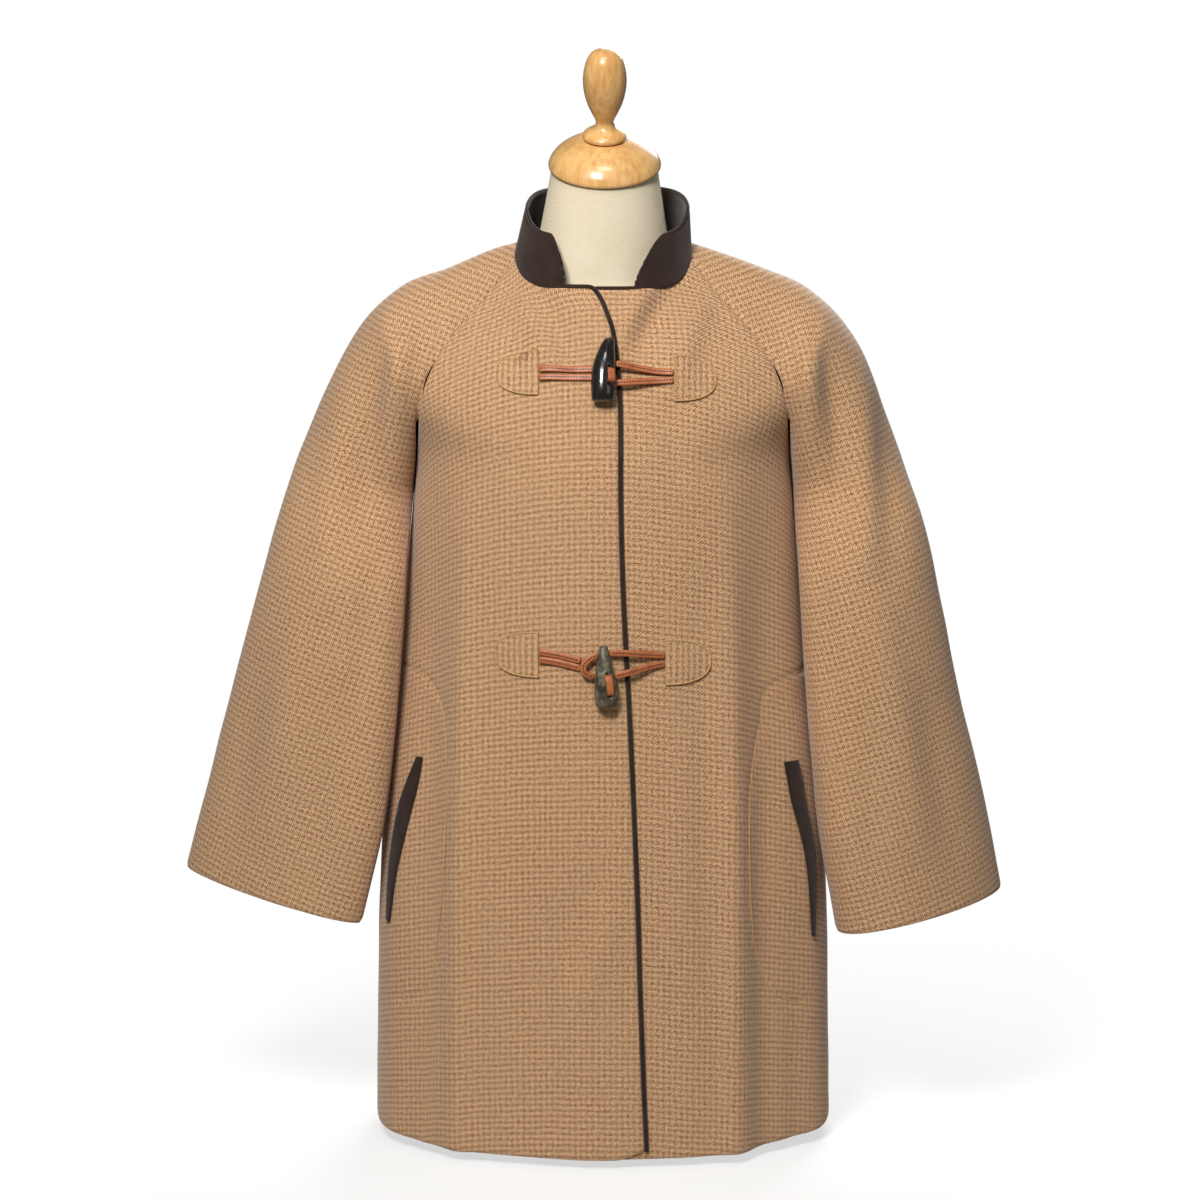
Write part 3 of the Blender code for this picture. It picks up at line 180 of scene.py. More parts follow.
# ---- the lapping front's outer edge, piping included ----
EdgeRow = namedtuple("EdgeRow", "z x")
LAP_EDGE = table(
    EdgeRow,
    (0.8175, -0.0120),
    (0.8100, -0.0040),
    (0.8010, 0.0015),
    (0.7908, 0.0055),
    (0.7772, 0.0102),
    (0.7390, 0.0156),
    (0.6955, 0.0175),
    (0.6230, 0.0176),
    (0.5320, 0.0202),
    (0.4120, 0.0265),
    (0.2540, 0.0333),
    (0.1600, 0.0361),
    (0.0120, 0.0419),
)
HEM_CORNER_LIFT = 0.008    # the lap's corner at the hem hangs this much higher
HEM_CORNER_WIDTH = 0.030
HEM_CORNER_LEVEL = 1.9     # where the corner starts to lift
UNDER_PIPING_START = -0.0075
UNDER_PIPING_DROP = 0.0005  # lies this much deeper, to pass beneath the lap's piping

# ---- collar ----
COLLAR_ENDS = {"right": -0.0365, "left": 0.0300}    # x of each end at the neckline
COLLAR_LEAN_IN = 0.24
COLLAR_LEAN_FORWARD = 0.15
COLLAR_BACK_LOSS = 0.007   # the stand is this much lower at the middle of the back
COLLAR_CORNER = 0.046      # height lost at each front end, which is cut to a long curve
COLLAR_CORNER_WIDTH = {"right": 0.025, "left": 0.036}

# ---- pockets ----
WeltRow = namedtuple("WeltRow", "z inner_x outer_x")
WELTS = {
    "right": table(
        WeltRow,
        (0.3770, 0.1745, 0.1795),
        (0.3520, 0.1785, 0.1875),
        (0.3300, 0.1830, 0.1935),
        (0.2960, 0.1900, 0.1995),
        (0.2594, 0.1968, 0.2035),
        (0.2170, 0.2020, 0.2052),
    ),
    "left": table(
        WeltRow,
        (0.3725, 0.1736, 0.1845),
        (0.3550, 0.1765, 0.1880),
        (0.3370, 0.1795, 0.1905),
        (0.2880, 0.1909, 0.1990),
        (0.2480, 0.1958, 0.2012),
        (0.2035, 0.1985, 0.2008),
    ),
}

# ---- patches, loops and toggles ----
Patch = namedtuple("Patch", "name straight_x tip_x z height lapped")
PATCHES = table(
    Patch,
    ("patch_upper_right", -0.0590, -0.0985, 0.7375, 0.0390, True),
    ("patch_upper_left", 0.0645, 0.1040, 0.7318, 0.0390, False),
    ("patch_lower_right", -0.0590, -0.1000, 0.4810, 0.0420, True),
    ("patch_lower_left", 0.0570, 0.0990, 0.4740, 0.0420, False),
)
PATCH_SQUARENESS = 2.5

# A loop's route: x and z on the front, and the height of its middle over the front beneath.
LoopPoint = namedtuple("LoopPoint", "x z lift")
LOOPS = {
    "loop_upper_right_a": table(
        LoopPoint,
        (-0.0580, 0.7400, 0.0052), (-0.0450, 0.7402, 0.0052),
        (-0.0300, 0.7403, 0.0052), (-0.0160, 0.7404, 0.0052),
        (-0.0030, 0.7405, 0.0048)),
    "loop_upper_right_b": table(
        LoopPoint,
        (-0.0580, 0.7330, 0.0052), (-0.0450, 0.7331, 0.0052),
        (-0.0300, 0.7332, 0.0052), (-0.0160, 0.7333, 0.0051),
        (-0.0030, 0.7334, 0.0048)),
    "loop_upper_left_a": table(
        LoopPoint,
        (0.0635, 0.7371, 0.0020), (0.0500, 0.7385, 0.0034),
        (0.0350, 0.7408, 0.0064), (0.0220, 0.7428, 0.0088),
        (0.0114, 0.7441, 0.0098)),
    "loop_upper_left_b": table(
        LoopPoint,
        (0.0635, 0.7304, 0.0020), (0.0500, 0.7302, 0.0034),
        (0.0350, 0.7292, 0.0064), (0.0220, 0.7280, 0.0088),
        (0.0114, 0.7273, 0.0098)),
    "loop_lower_right_a": table(
        LoopPoint,
        (-0.0580, 0.4840, 0.0052), (-0.0450, 0.4822, 0.0052),
        (-0.0320, 0.4795, 0.0052), (-0.0204, 0.4768, 0.0054)),
    "loop_lower_right_b": table(
        LoopPoint,
        (-0.0580, 0.4772, 0.0052), (-0.0450, 0.4755, 0.0052),
        (-0.0320, 0.4728, 0.0052), (-0.0206, 0.4698, 0.0054)),
    "loop_lower_left_a": table(
        LoopPoint,
        (0.0560, 0.4806, 0.0020), (0.0430, 0.4818, 0.0040),
        (0.0300, 0.4832, 0.0080), (0.0180, 0.4842, 0.0096),
        (0.0056, 0.4846, 0.0100)),
    "loop_lower_left_b": table(
        LoopPoint,
        (0.0560, 0.4736, 0.0020), (0.0430, 0.4712, 0.0040),
        (0.0300, 0.4680, 0.0080), (0.0180, 0.4650, 0.0096),
        (0.0104, 0.4632, 0.0100)),
}
LOOP_WIDTH = 0.0062
LOOP_THICKNESS = 0.0022

# A toggle is rings up its length: height from its lower end, shift to +X, half width, half depth.
ToggleRow = namedtuple("ToggleRow", "height shift half_width half_depth")
HORN_ROWS = table(
    ToggleRow,
    (0.0000, -0.0005, 0.0080, 0.0060),
    (0.0018, -0.0004, 0.0100, 0.0078),
    (0.0075, 0.0000, 0.0110, 0.0088),
    (0.0185, 0.0000, 0.0112, 0.0088),
    (0.0295, 0.0005, 0.0106, 0.0084),
    (0.0385, 0.0018, 0.0092, 0.0076),
    (0.0475, 0.0036, 0.0070, 0.0062),
    (0.0528, 0.0050, 0.0054, 0.0050),
    (0.0555, 0.0056, 0.0036, 0.0036),
)
ANTLER_ROWS = table(
    ToggleRow,
    (0.0000, 0.0010, 0.0070, 0.0060),
    (0.0020, 0.0020, 0.0096, 0.0078),
    (0.0100, 0.0026, 0.0112, 0.0086),
    (0.0200, 0.0020, 0.0104, 0.0084),
    (0.0300, 0.0010, 0.0090, 0.0078),
    (0.0400, 0.0000, 0.0070, 0.0066),
    (0.0500, -0.0004, 0.0050, 0.0050),
    (0.0560, -0.0004, 0.0036, 0.0036),
)
Toggle = namedtuple("Toggle", "name rows x z bow slot bumps")
TOGGLES = table(
    Toggle,
    ("horn_toggle", HORN_ROWS, 0.0000, 0.7095, 0.0020, "horn", 0.00015),
    ("antler_toggle", ANTLER_ROWS, 0.0005, 0.4350, 0.0024, "antler", 0.0006),
)
TOGGLE_CLEARANCE = 0.0004   # between a toggle's back and the front or piping beneath it
TOGGLE_BACK_LIFT = LAP_RISE + (PIPING_DEPTH - CLOTH) / 2 + TOGGLE_CLEARANCE

# The stretch of a loop that crosses its toggle's face between two holes. The angle is the place on
# the toggle's section: 90 degrees is the middle of its face, and 0 its edge towards +X.
Bridge = namedtuple("Bridge", "name angle z width height")
BRIDGES = table(
    Bridge,
    ("loop_bridge_upper", math.radians(54), 0.7312, 0.0072, 0.0125),
    ("loop_bridge_lower", math.radians(72), 0.4558, 0.0072, 0.0190),
)
BRIDGE_THICKNESS = 0.0020

# ---- dress form ----
NECK_TILT = math.radians(25)               # the neck's top plane leans forward
CAP_CENTRE = Vector((0.0015, -0.015, 0.9304))
NECK_RADIUS = 0.0500
CAP_EDGE = 0.0030                          # from the widest line down to the neck
NECK_ROOT_INSET = 0.020                    # neck's foot inside the coat's neckline
NECK_EASE = 1.6                            # above 1, the neck widens mostly near its foot
FORM_FRONT_INSET = 0.014                   # extra room at the middle of the chest and back

# Below the shoulders: rings with a lift at the sides, where the arms would start.
FormRow = namedtuple("FormRow", "z side_lift half_width front back")
FORM_ROWS = table(
    FormRow,
    (0.716, 0.074, 0.1740, 0.094, 0.088),
    (0.690, 0.040, 0.1680, 0.104, 0.091),
    (0.655, 0.008, 0.1540, 0.109, 0.092),
    (0.600, 0.000, 0.1400, 0.102, 0.088),
    (0.550, 0.000, 0.1260, 0.088, 0.082),
    (0.500, 0.000, 0.1200, 0.082, 0.080),
    (0.450, 0.000, 0.1270, 0.085, 0.086),
    (0.390, 0.000, 0.1440, 0.093, 0.098),
    (0.330, 0.000, 0.1500, 0.097, 0.104),
    (0.300, 0.000, 0.1490, 0.096, 0.103),
)

# Turned profiles along the neck's axis: radius and height over the cap's widest line.
CAP_PROFILE = ((0.0500, -0.0030), (0.0524, -0.0018), (0.0530, 0.0), (0.0524, 0.0024),
               (0.0500, 0.0072), (0.0450, 0.0130), (0.0380, 0.0182), (0.0300, 0.0222),
               (0.0210, 0.0252), (0.0120, 0.0262))
FINIAL_PROFILE = ((0.0190, 0.0268), (0.0206, 0.0274), (0.0207, 0.0302), (0.0180, 0.0330),
                  (0.0140, 0.0352), (0.0104, 0.0378), (0.0084, 0.0415), (0.0088, 0.0450),
                  (0.0122, 0.0520), (0.0162, 0.0610), (0.0190, 0.0710), (0.0203, 0.0810),
                  (0.0200, 0.0900), (0.0184, 0.0985), (0.0156, 0.1060), (0.0112, 0.1112),
                  (0.0060, 0.1136))

# ---- how finely the looks are modelled ----
CLOTH_STEP = 0.0032        # between points along and across a cut piece
EDGE_PLACES = (0.0, 0.0008, 0.0018, 0.0030, 0.0046)    # closer points beside an edge
YOKE_LENGTH = 0.185        # down the middle of a front, from level 0 to 1
SKIRT_LENGTH = 0.622       # and from level 1 to 2
BACK_YOKE_EXTRA = 0.09     # the back is this much longer above the underarm
FRONT_ROUND = 0.255        # from the front's free edge round to its seam
BACK_ROUND = 0.50          # from seam to seam
SLEEVE_HEAD_LENGTH = 0.30  # along the outside of the arm, from level 0 to 1
SLEEVE_LENGTH = 0.43       # and from level 1 to 2
SLEEVE_HALF_WIDTH = 0.19   # half way round the arm
SLEEVE_EASING = 260        # rounds of easing where the sleeve leaves the body
SLEEVE_EASING_REACH = 0.30  # in levels, each way from the underarm

# ---- how the pieces meet ----
SEAM_DIP = 0.0012          # the cloth turns in where it is sewn
SEAM_DIP_WIDTH = 0.0034
SEAM_RIDGE = 0.0005        # and stands up over the pressed allowance beside the seam
SEAM_RIDGE_AT = 0.0085
SEAM_RIDGE_WIDTH = 0.0040
HEM_DIP = 0.0009           # a folded edge is soft
HEM_DIP_WIDTH = 0.0046
CLOTH_WAVE = 0.0005        # gentle unevenness of hanging cloth
CLOTH_WAVE_SIZE = 0.045
WAVE_SEEDS = {"front": 3.0, "back": 11.0, "collar": 17.0, "right": 4.0, "left": 6.0}
RIM_BULGE = 0.3            # of a cut edge, as a share of the thickness
CURVE_STEPS = 24           # between two places of a smooth line
POCKET_GROOVE = 0.0018     # the seam that holds the pocket bag draws the cloth in
POCKET_GROOVE_WIDTH = 0.0022
POCKET_GROOVE_STEP = 0.0015

# ---- creases ----
# A soft ridge, or a trough where the depth is negative, from one end to the other as seen from
# that side. The bow carries its middle sideways.
Crease = namedtuple("Crease", "x0 z0 x1 z1 width depth bow")
FRONT_CREASES = table(
    Crease,
    (0.0780, 0.8300, 0.0240, 0.7380, 0.0140, -0.0070, 0.006),
    (0.1020, 0.8160, 0.0600, 0.7100, 0.0140, 0.0060, 0.004),
    (0.0500, 0.8240, 0.0120, 0.7560, 0.0110, 0.0050, 0.003),
    (-0.0640, 0.8240, -0.0140, 0.7400, 0.0120, -0.0064, 0.004),
    (-0.0880, 0.8120, -0.0400, 0.7300, 0.0130, 0.0052, -0.003),
    (-0.0300, 0.7200, -0.0480, 0.6500, 0.0110, -0.0026, 0.003),
    (0.0500, 0.7150, 0.0720, 0.6300, 0.0120, -0.0024, -0.004),
    (-0.1230, 0.6700, -0.1400, -0.3000, 0.0110, 0.0050, 0.004),
    (-0.1600, 0.7000, -0.1680, -0.3500, 0.0220, -0.0125, 0.004),
    (-0.1020, 0.5800, -0.1100, 0.1500, 0.0140, -0.0024, -0.005),
    (-0.0900, 0.4300, -0.0820, -0.1000, 0.0190, 0.0034, 0.006),
    (-0.0500, 0.3000, -0.0440, -0.0700, 0.0170, -0.0034, 0.000),
    (-0.0080, 0.2900, -0.0240, 0.1700, 0.0130, -0.0036, 0.010),
    (0.0120, 0.2500, -0.0060, 0.1500, 0.0110, 0.0030, 0.006),
    (0.1140, 0.6800, 0.1240, -0.3000, 0.0110, 0.0050, -0.004),
    (0.1500, 0.7000, 0.1600, -0.3500, 0.0220, -0.0125, -0.004),
    (0.0920, 0.5600, 0.1000, 0.1200, 0.0140, -0.0024, 0.004),
    (0.0800, 0.4400, 0.0860, -0.1000, 0.0180, 0.0028, 0.003),
)
BACK_CREASES = table(
    Crease,
    (-0.0760, 0.8350, -0.0900, 0.7400, 0.0130, -0.0038, 0.004),
    (0.0680, 0.8380, 0.0960, 0.7350, 0.0140, -0.0034, -0.004),
    (-0.0200, 0.8300, -0.0260, 0.7300, 0.0160, 0.0024, 0.004),
    (-0.1400, 0.6900, -0.1300, 0.2200, 0.0150, 0.0042, 0.005),
    (0.1350, 0.7000, 0.1340, 0.2000, 0.0160, 0.0044, -0.004),
    (-0.0560, 0.6800, -0.0640, 0.2600, 0.0190, -0.0034, 0.003),
    (0.0600, 0.6200, 0.0560, 0.2000, 0.0180, 0.0030, 0.000),
    (0.0040, 0.6000, 0.0100, 0.3000, 0.0200, -0.0028, 0.004),
)
SLEEVE_FRONT_CREASES = {
    "right": table(
        Crease,
        (-0.1750, 0.7950, -0.1960, 0.6200, 0.0120, 0.0056, 0.010),
        (-0.2000, 0.7850, -0.2240, 0.5700, 0.0130, -0.0054, 0.008),
        (-0.2360, 0.7600, -0.2620, 0.5000, 0.0150, 0.0044, 0.006),
        (-0.2080, 0.6000, -0.2380, 0.3200, 0.0130, -0.0048, 0.004),
        (-0.2700, 0.5600, -0.3220, 0.2800, 0.0180, 0.0042, 0.005),
        (-0.2450, 0.4600, -0.2860, 0.2100, 0.0150, -0.0040, 0.000),
        (-0.3180, 0.4800, -0.3620, 0.2500, 0.0160, -0.0034, 0.004),
    ),
    "left": table(
        Crease,
        (0.1760, 0.8050, 0.1900, 0.6400, 0.0110, 0.0058, -0.008),
        (0.2020, 0.8000, 0.2160, 0.5800, 0.0120, -0.0064, -0.008),
        (0.2360, 0.7800, 0.2420, 0.5400, 0.0140, 0.0054, -0.006),
        (0.2640, 0.7200, 0.2680, 0.5200, 0.0150, -0.0044, -0.004),
        (0.1980, 0.6000, 0.2240, 0.3200, 0.0130, -0.0048, 0.000),
        (0.2500, 0.5400, 0.2980, 0.2700, 0.0180, 0.0042, -0.004),
        (0.2350, 0.4400, 0.2640, 0.2000, 0.0150, -0.0036, 0.000),
        (0.2980, 0.4600, 0.3360, 0.2400, 0.0160, -0.0032, 0.000),
    ),
}
SLEEVE_BACK_CREASES = {
    "right": table(
        Crease,
        (-0.1850, 0.7800, -0.2080, 0.6000, 0.0130, -0.0052, 0.008),
        (-0.2250, 0.7500, -0.2440, 0.5200, 0.0150, 0.0048, 0.006),
        (-0.2300, 0.5000, -0.2740, 0.2700, 0.0170, -0.0040, 0.004),
        (-0.2860, 0.5600, -0.3340, 0.3100, 0.0190, 0.0038, 0.000),
    ),
    "left": table(
        Crease,
        (0.1880, 0.7900, 0.2030, 0.6100, 0.0130, -0.0050, -0.008),
        (0.2200, 0.7600, 0.2390, 0.5100, 0.0150, 0.0048, -0.006),
        (0.2260, 0.4900, 0.2600, 0.2700, 0.0160, -0.0040, 0.000),
        (0.2780, 0.5500, 0.3130, 0.3000, 0.0190, 0.0038, 0.000),
    ),
}

# ---- the tweed's grain ----
# The fronts and the back are flared, so the checks drop towards the side seams as on a cone whose
# tip lies at this height. The sleeves' checks are square to the arm, which leans out.
GRAIN_TIP_Z = 1.02
SLEEVE_GRAIN = {"right": math.radians(21), "left": math.radians(18)}
LAP_GRAIN_TILT = 0.17      # the front beneath is cut more off the grain beside the lap
LAP_GRAIN_WIDTH = 0.05
LAP_GRAIN_FROM, LAP_GRAIN_TO = 0.1, 0.5    # metres below the neckline
SLEEVE_BEHIND = 0.6        # share of the half width over which the back's lengths take over
FACING_FROM, FACING_TO = -0.1, 0.3         # how squarely the cloth faces a side with creases
CHECK = 0.0055             # one repeat of the check
TWILL = 0.00275            # from one twill line to the next
FORM_WEAVE = 0.0011        # one repeat of the weave of the form's cotton

# ---- stitching ----
Place = namedtuple("Place", "x z")
POCKETS = {
    "right": table(
        Place,
        (-0.1924, 0.4592), (-0.1738, 0.4527), (-0.1568, 0.4284),
        (-0.1471, 0.3935), (-0.1443, 0.3446), (-0.1473, 0.2874),
        (-0.1513, 0.2345), (-0.1592, 0.1853), (-0.1711, 0.1603),
        (-0.1862, 0.1460), (-0.1985, 0.1462)),
    "left": table(
        Place,
        (0.1923, 0.4548), (0.1738, 0.4499), (0.1598, 0.4418),
        (0.1549, 0.4304), (0.1549, 0.4146), (0.1481, 0.3932),
        (0.1405, 0.3560), (0.1367, 0.3109), (0.1369, 0.2520),
        (0.1408, 0.2177), (0.1535, 0.1837), (0.1703, 0.1549),
        (0.1874, 0.1442), (0.1996, 0.1427)),
}
Stitching = namedtuple("Stitching", "pitch length radius")
POCKET_STITCHES = Stitching(0.0030, 0.0028, 0.00060)
PATCH_STITCHES = Stitching(0.0024, 0.0028, 0.00072)
STRAP_STITCHES = Stitching(0.0027, 0.0017, 0.00062)
PATCH_STITCH_INSET = 0.0006
POCKET_STITCH_SINK = 0.9    # of the groove's depth
STITCH_SIDES = 6
STITCH_RINGS = ((-0.5, 0.45), (-0.32, 0.9), (0.0, 1.0), (0.32, 0.9), (0.5, 0.45))
STITCH_LIFT = 0.6           # of the radius, at a stitch's middle
STITCH_BOW = 2.4            # and how fast it drops to its ends
STRAP_STITCH_START = 0.003  # from a strap's first end
STRAP_STITCH_STOP = 0.002   # from its other end
STRAP_STITCH_SINK = 0.0001

# The slip knot: the strap's end comes from behind the antler and bends round the two strands.
KNOT_ROUTE = (
    (0.0000, 0.4835, 0.0085),
    (-0.0105, 0.4800, 0.0105),
    (-0.0172, 0.4735, 0.0112),
    (-0.0165, 0.4660, 0.0108),
    (-0.0080, 0.4622, 0.0085),
)

# ---- colours, linear ----
SAND = (0.54, 0.335, 0.180)
SAND_LIGHT = (0.72, 0.475, 0.272)
BROWN_BAR = (0.25, 0.106, 0.040)
GOLD_THREAD = (0.70, 0.43, 0.16)
WOOL_DARK = (0.017, 0.0088, 0.0064)
WOOL_LIGHT = (0.052, 0.028, 0.020)
LEATHER_TAN = (0.46, 0.135, 0.042)
LEATHER_DARK = (0.12, 0.030, 0.012)
STITCH_DARK = (0.040, 0.013, 0.008)
HORN_BLACK = (0.010, 0.009, 0.008)
HORN_GREY = (0.060, 0.055, 0.048)
ANTLER_DARK = (0.030, 0.026, 0.014)
ANTLER_PALE = (0.21, 0.175, 0.105)
BEECH_PALE = (0.82, 0.50, 0.19)
BEECH_DEEP = (0.62, 0.31, 0.095)
CREAM = (0.86, 0.76, 0.58)
CREAM_DEEP = (0.74, 0.62, 0.43)
METAL_DARK = (0.035, 0.036, 0.040)
METAL_PALE = (0.10, 0.10, 0.105)

# ---- the camera and the light ----
CAMERA_PLACE = Vector((-0.0029, -3.0, 0.87))
CAMERA_TARGET = Vector((-0.0029, 0.0, 0.516))
FRAME_WIDTH = 1.152        # metres across the picture at the target
SENSOR = 36.0
WORLD_LIGHT = 0.11
FLOOR_GLOW = 0.20
FLOOR_RADIUS = 1.15
FLOOR_SOLID_RADIUS = 0.20   # the floor fades away from here out
FLOOR_SOLID = 0.45         # how much of the white world it covers at most
FLOOR_SIDES = 96
FLOOR_Z = -0.0004
FLOOR_GREY = (0.78, 0.78, 0.78)
FLOOR_PALE = (0.80, 0.80, 0.80)
FLOOR_MOTTLE = 0.5
CAMERA_REACH = 100.0
Lamp = namedtuple("Lamp", "name place target size power tint")
LAMPS = table(
    Lamp,
    ("key", (-0.55, -2.05, 2.05), (0.0, 0.0, 0.70), (0.6, 0.6), 61.0, (1.0, 0.985, 0.955)),
    ("fill", (1.50, -1.70, 1.30), (0.0, 0.0, 0.60), (1.0, 1.0), 3.0, (1.0, 0.985, 0.955)),
    ("top", (0.0, -1.40, 2.60), (0.0, 0.0, 0.80), (0.7, 0.5), 9.0, (1.0, 0.99, 0.97)),
    ("back", (0.6, 2.3, 2.2), (0.0, 0.0, 0.6), (1.4, 1.0), 74.0, (1.0, 0.99, 0.97)),
)

# ---- the small pieces' own sizes ----
COLLAR_STEP = 0.0020
COLLAR_SEAM = 0.0004       # between the collar and the neckline
COLLAR_LEFT_LEAN = 0.06    # the left side stands more upright
PIPING_TUCK = 0.0035       # the neckline's piping runs on beneath the collar's ends
COLLAR_LEFT_FROM, COLLAR_LEFT_TO = 0.45, 0.80    # shares of the way round the neckline
COLLAR_EDGE_DIP = 0.0008
COLLAR_EDGE_WIDTH = 0.0016
COLLAR_LIP = 0.0034
COLLAR_LIP_GROOVE = 0.0011
COLLAR_LIP_GROOVE_WIDTH = 0.0009
NECK_FRONT_PLACES = 20     # places along each stretch of the neckline
NECK_SLEEVE_PLACES = 12
NECK_BACK_PLACES = 30
NECK_BACK_END = 0.97
NECKLINE_ROUNDS = 6        # rounds of easing
PIPING_ROUNDS = 2
PIPING_SIDES = 14
PIPING_SQUARENESS = 2.3
PIPING_RIGHT_PLACES = 9
PIPING_LEFT_PLACES = 14
WELT_STEP = 0.004
WELT_PLACES = 9
WELT_BULGE = 0.0004
PATCH_POINTS = 96
PATCH_ROUND_POINTS = 90
PATCH_STRAIGHT_POINTS = 40
PATCH_SHARES = (0.02, 0.15, 0.3, 0.45, 0.6, 0.72, 0.82, 0.89, 0.93, 0.96, 0.98, 0.993, 1.0)
PATCH_EDGE_SHARE = 0.05
PATCH_PUFF = 0.0005
PATCH_EDGE_HEIGHT = 0.55   # of the thickness, at its outline
PATCH_UNDER_GAP = 0.6      # of the seam gap, between a patch's back and the front
STRAP_STEPS = 40
STRAP_SIDES = 16
STRAP_SQUARENESS = 3.2
STRAP_END_SIZE = 0.75      # its ends are rounded over
KNOT_STEP = 0.0012
KNOT_ROUNDS = 3
TOGGLE_ROUND = 56
TOGGLE_STEP = 0.0009
TOGGLE_EDGE = 0.0012       # rounding of a toggle's ends
TOGGLE_END_SIZE = 0.80
TOGGLE_BUMP_SCALE = np.array((140.0, 140.0, 60.0))    # bumps for each metre, along X, Y and Z
HOLE_DEPTH = 0.0030
HOLE_RADIUS = 0.0022
BRIDGE_PLACES = 21
BRIDGE_RISE = 0.0008
BRIDGE_SINK = 0.0022
FORM_FRONT_STEPS = 12
FORM_SLEEVE_STEPS = 12
FORM_YOKE_TOP = 0.12
FORM_YOKE_BOTTOM = 0.48
FORM_YOKE_STEPS = 8
FORM_BODY_STEPS = 36
NECK_STEPS = 12
TURNED_ROUND = 96
TURNED_STEP = 0.0008
TURNED_END_SIZE = 0.2      # the last ring closes the top
TURNED_END_RISE = 0.0008


# ---- working out the rings ----
def smoothstep(low, high, value):
    """Rise from 0 at low to 1 at high, flat at both ends."""
    t = np.clip((value - low) / (high - low), 0.0, 1.0)
    return t * t * (3 - 2 * t)


def unit(vectors):
    """The vectors at length 1."""
    return vectors / np.maximum(np.linalg.norm(vectors, axis=-1, keepdims=True), TINY)


@lru_cache(maxsize=None)
def row_at(rows, at):
    """The table's row at any place along its first column, on a smooth curve through the rows."""
    keys = [row[0] for row in rows]
    rising = keys[-1] > keys[0]
    last = len(rows) - 2
    i = 0
    while i < last and (at > keys[i + 1]) == rising and at != keys[i + 1]:
        i += 1
    span = keys[i + 1] - keys[i]
    t = min(1.0, max(0.0, (at - keys[i]) / span))

    def slope(j, column):
        before, after = max(0, j - 1), min(len(rows) - 1, j + 1)
        return (rows[after][column] - rows[before][column]) / (keys[after] - keys[before])

    values = [at]
    for column in range(1, len(rows[0])):
        start, end = rows[i][column], rows[i + 1][column]
        leave, arrive = slope(i, column) * span, slope(i + 1, column) * span
        values.append(start * (1 + 2 * t) * (1 - t) ** 2 + leave * t * (1 - t) ** 2
                      + end * t * t * (3 - 2 * t) + arrive * t * t * (t - 1))
    return type(rows[0])(*values)


@lru_cache(maxsize=None)
def panel_ring(rows, level):
    """The row at a level, with the angle and half width of the ring that its seam lies on."""
    row = row_at(rows, level)
    share = min(1.0, max(0.0, row.seam_y / row.centre_y))
    seam_angle = math.acos(share ** (1 / row.fullness))
    return row, seam_angle, row.seam_x / math.sin(seam_angle)


def fold_height(folds, angle, level):
    """How far the folds lift the cloth at an angle in radians."""
    total = np.zeros_like(angle)
    for fold in folds:
        off = (np.degrees(angle) - fold.angle) / fold.width
        total = total + fold.depth * np.exp(-off * off) * smoothstep(fold.top_level, 2.0, level)
    return total


def ring_z(row, across):
    """Height of a ring: it rises from its middle to its seams, mostly near them at the neckline."""
    power = NECK_POWER + (2 - NECK_POWER) * smoothstep(0.0, NECK_POWER_UNTIL, row.level)
    return row.centre_z + (row.seam_z - row.centre_z) * abs(across) ** power


def panel_point(rows, across, level):
    """Points of the front or back: across runs from -1 to 1 between its two seams."""
    row, seam_angle, half_width = panel_ring(rows, level)
    across = np.asarray(across, float)
    angle = across * seam_angle
    folds = FRONT_FOLDS if row.centre_y < 0 else BACK_FOLDS
    swell = 1 + fold_height(folds, angle, level) / abs(row.centre_y)
    x = half_width * np.sin(angle) * swell
    y = row.centre_y * np.maximum(0.0, np.cos(angle)) ** row.fullness * swell
    return np.stack([x, y, ring_z(row, across)], axis=-1)


def panel_normal(rows, across, level):
    """The outward directions of the front or back."""
    near, far = np.maximum(-1.0, across - NORMAL_STEP), np.minimum(1.0, across + NORMAL_STEP)
    above, below = max(0.0, level - NORMAL_STEP), min(2.0, level + NORMAL_STEP)
    along = panel_point(rows, far, level) - panel_point(rows, near, level)
    down = panel_point(rows, across, below) - panel_point(rows, across, above)
    normal = unit(np.cross(along, down))
    return normal if rows is BACK_ROWS else -normal


def across_at_x(rows, x, level):
    """How far across the panel an x lies at a level."""
    _, seam_angle, half_width = panel_ring(rows, level)
    return math.asin(max(-1.0, min(1.0, x / half_width))) / seam_angle


def level_at(x, z):
    """The front's level at a place seen from the front."""
    low, high = 0.0, 2.0
    for _ in range(LEVEL_ROUNDS):
        level = (low + high) / 2
        row, _, _ = panel_ring(FRONT_ROWS, level)
        if ring_z(row, across_at_x(FRONT_ROWS, x, level)) > z:
            low = level
        else:
            high = level
    return level


def lap_rise(x):
    """How far the lapping front stands off the body's rings."""
    return LAP_RISE * smoothstep(LAP_RISE_FROM, LAP_RISE_TO, x)


def lap_edge_x(z):
    """The lap's outer edge at a height."""
    return row_at(LAP_EDGE, min(LAP_EDGE[0].z, max(LAP_EDGE[-1].z, z))).x


def crease_height(creases, x, z):
    """How far the creases lift the cloth at places seen from one side."""
    total = np.zeros_like(x)
    for crease in creases:
        run = np.array([crease.x1 - crease.x0, crease.z1 - crease.z0])
        length = np.hypot(*run)
        way = run / length
        along = ((x - crease.x0) * way[0] + (z - crease.z0) * way[1]) / length
        off = (x - crease.x0) * way[1] - (z - crease.z0) * way[0]
        middle = 1 - (2 * np.clip(along, 0.0, 1.0) - 1) ** 2
        off = (off - crease.bow * middle) / crease.width
        total = total + crease.depth * np.exp(-off * off) * middle
    return total


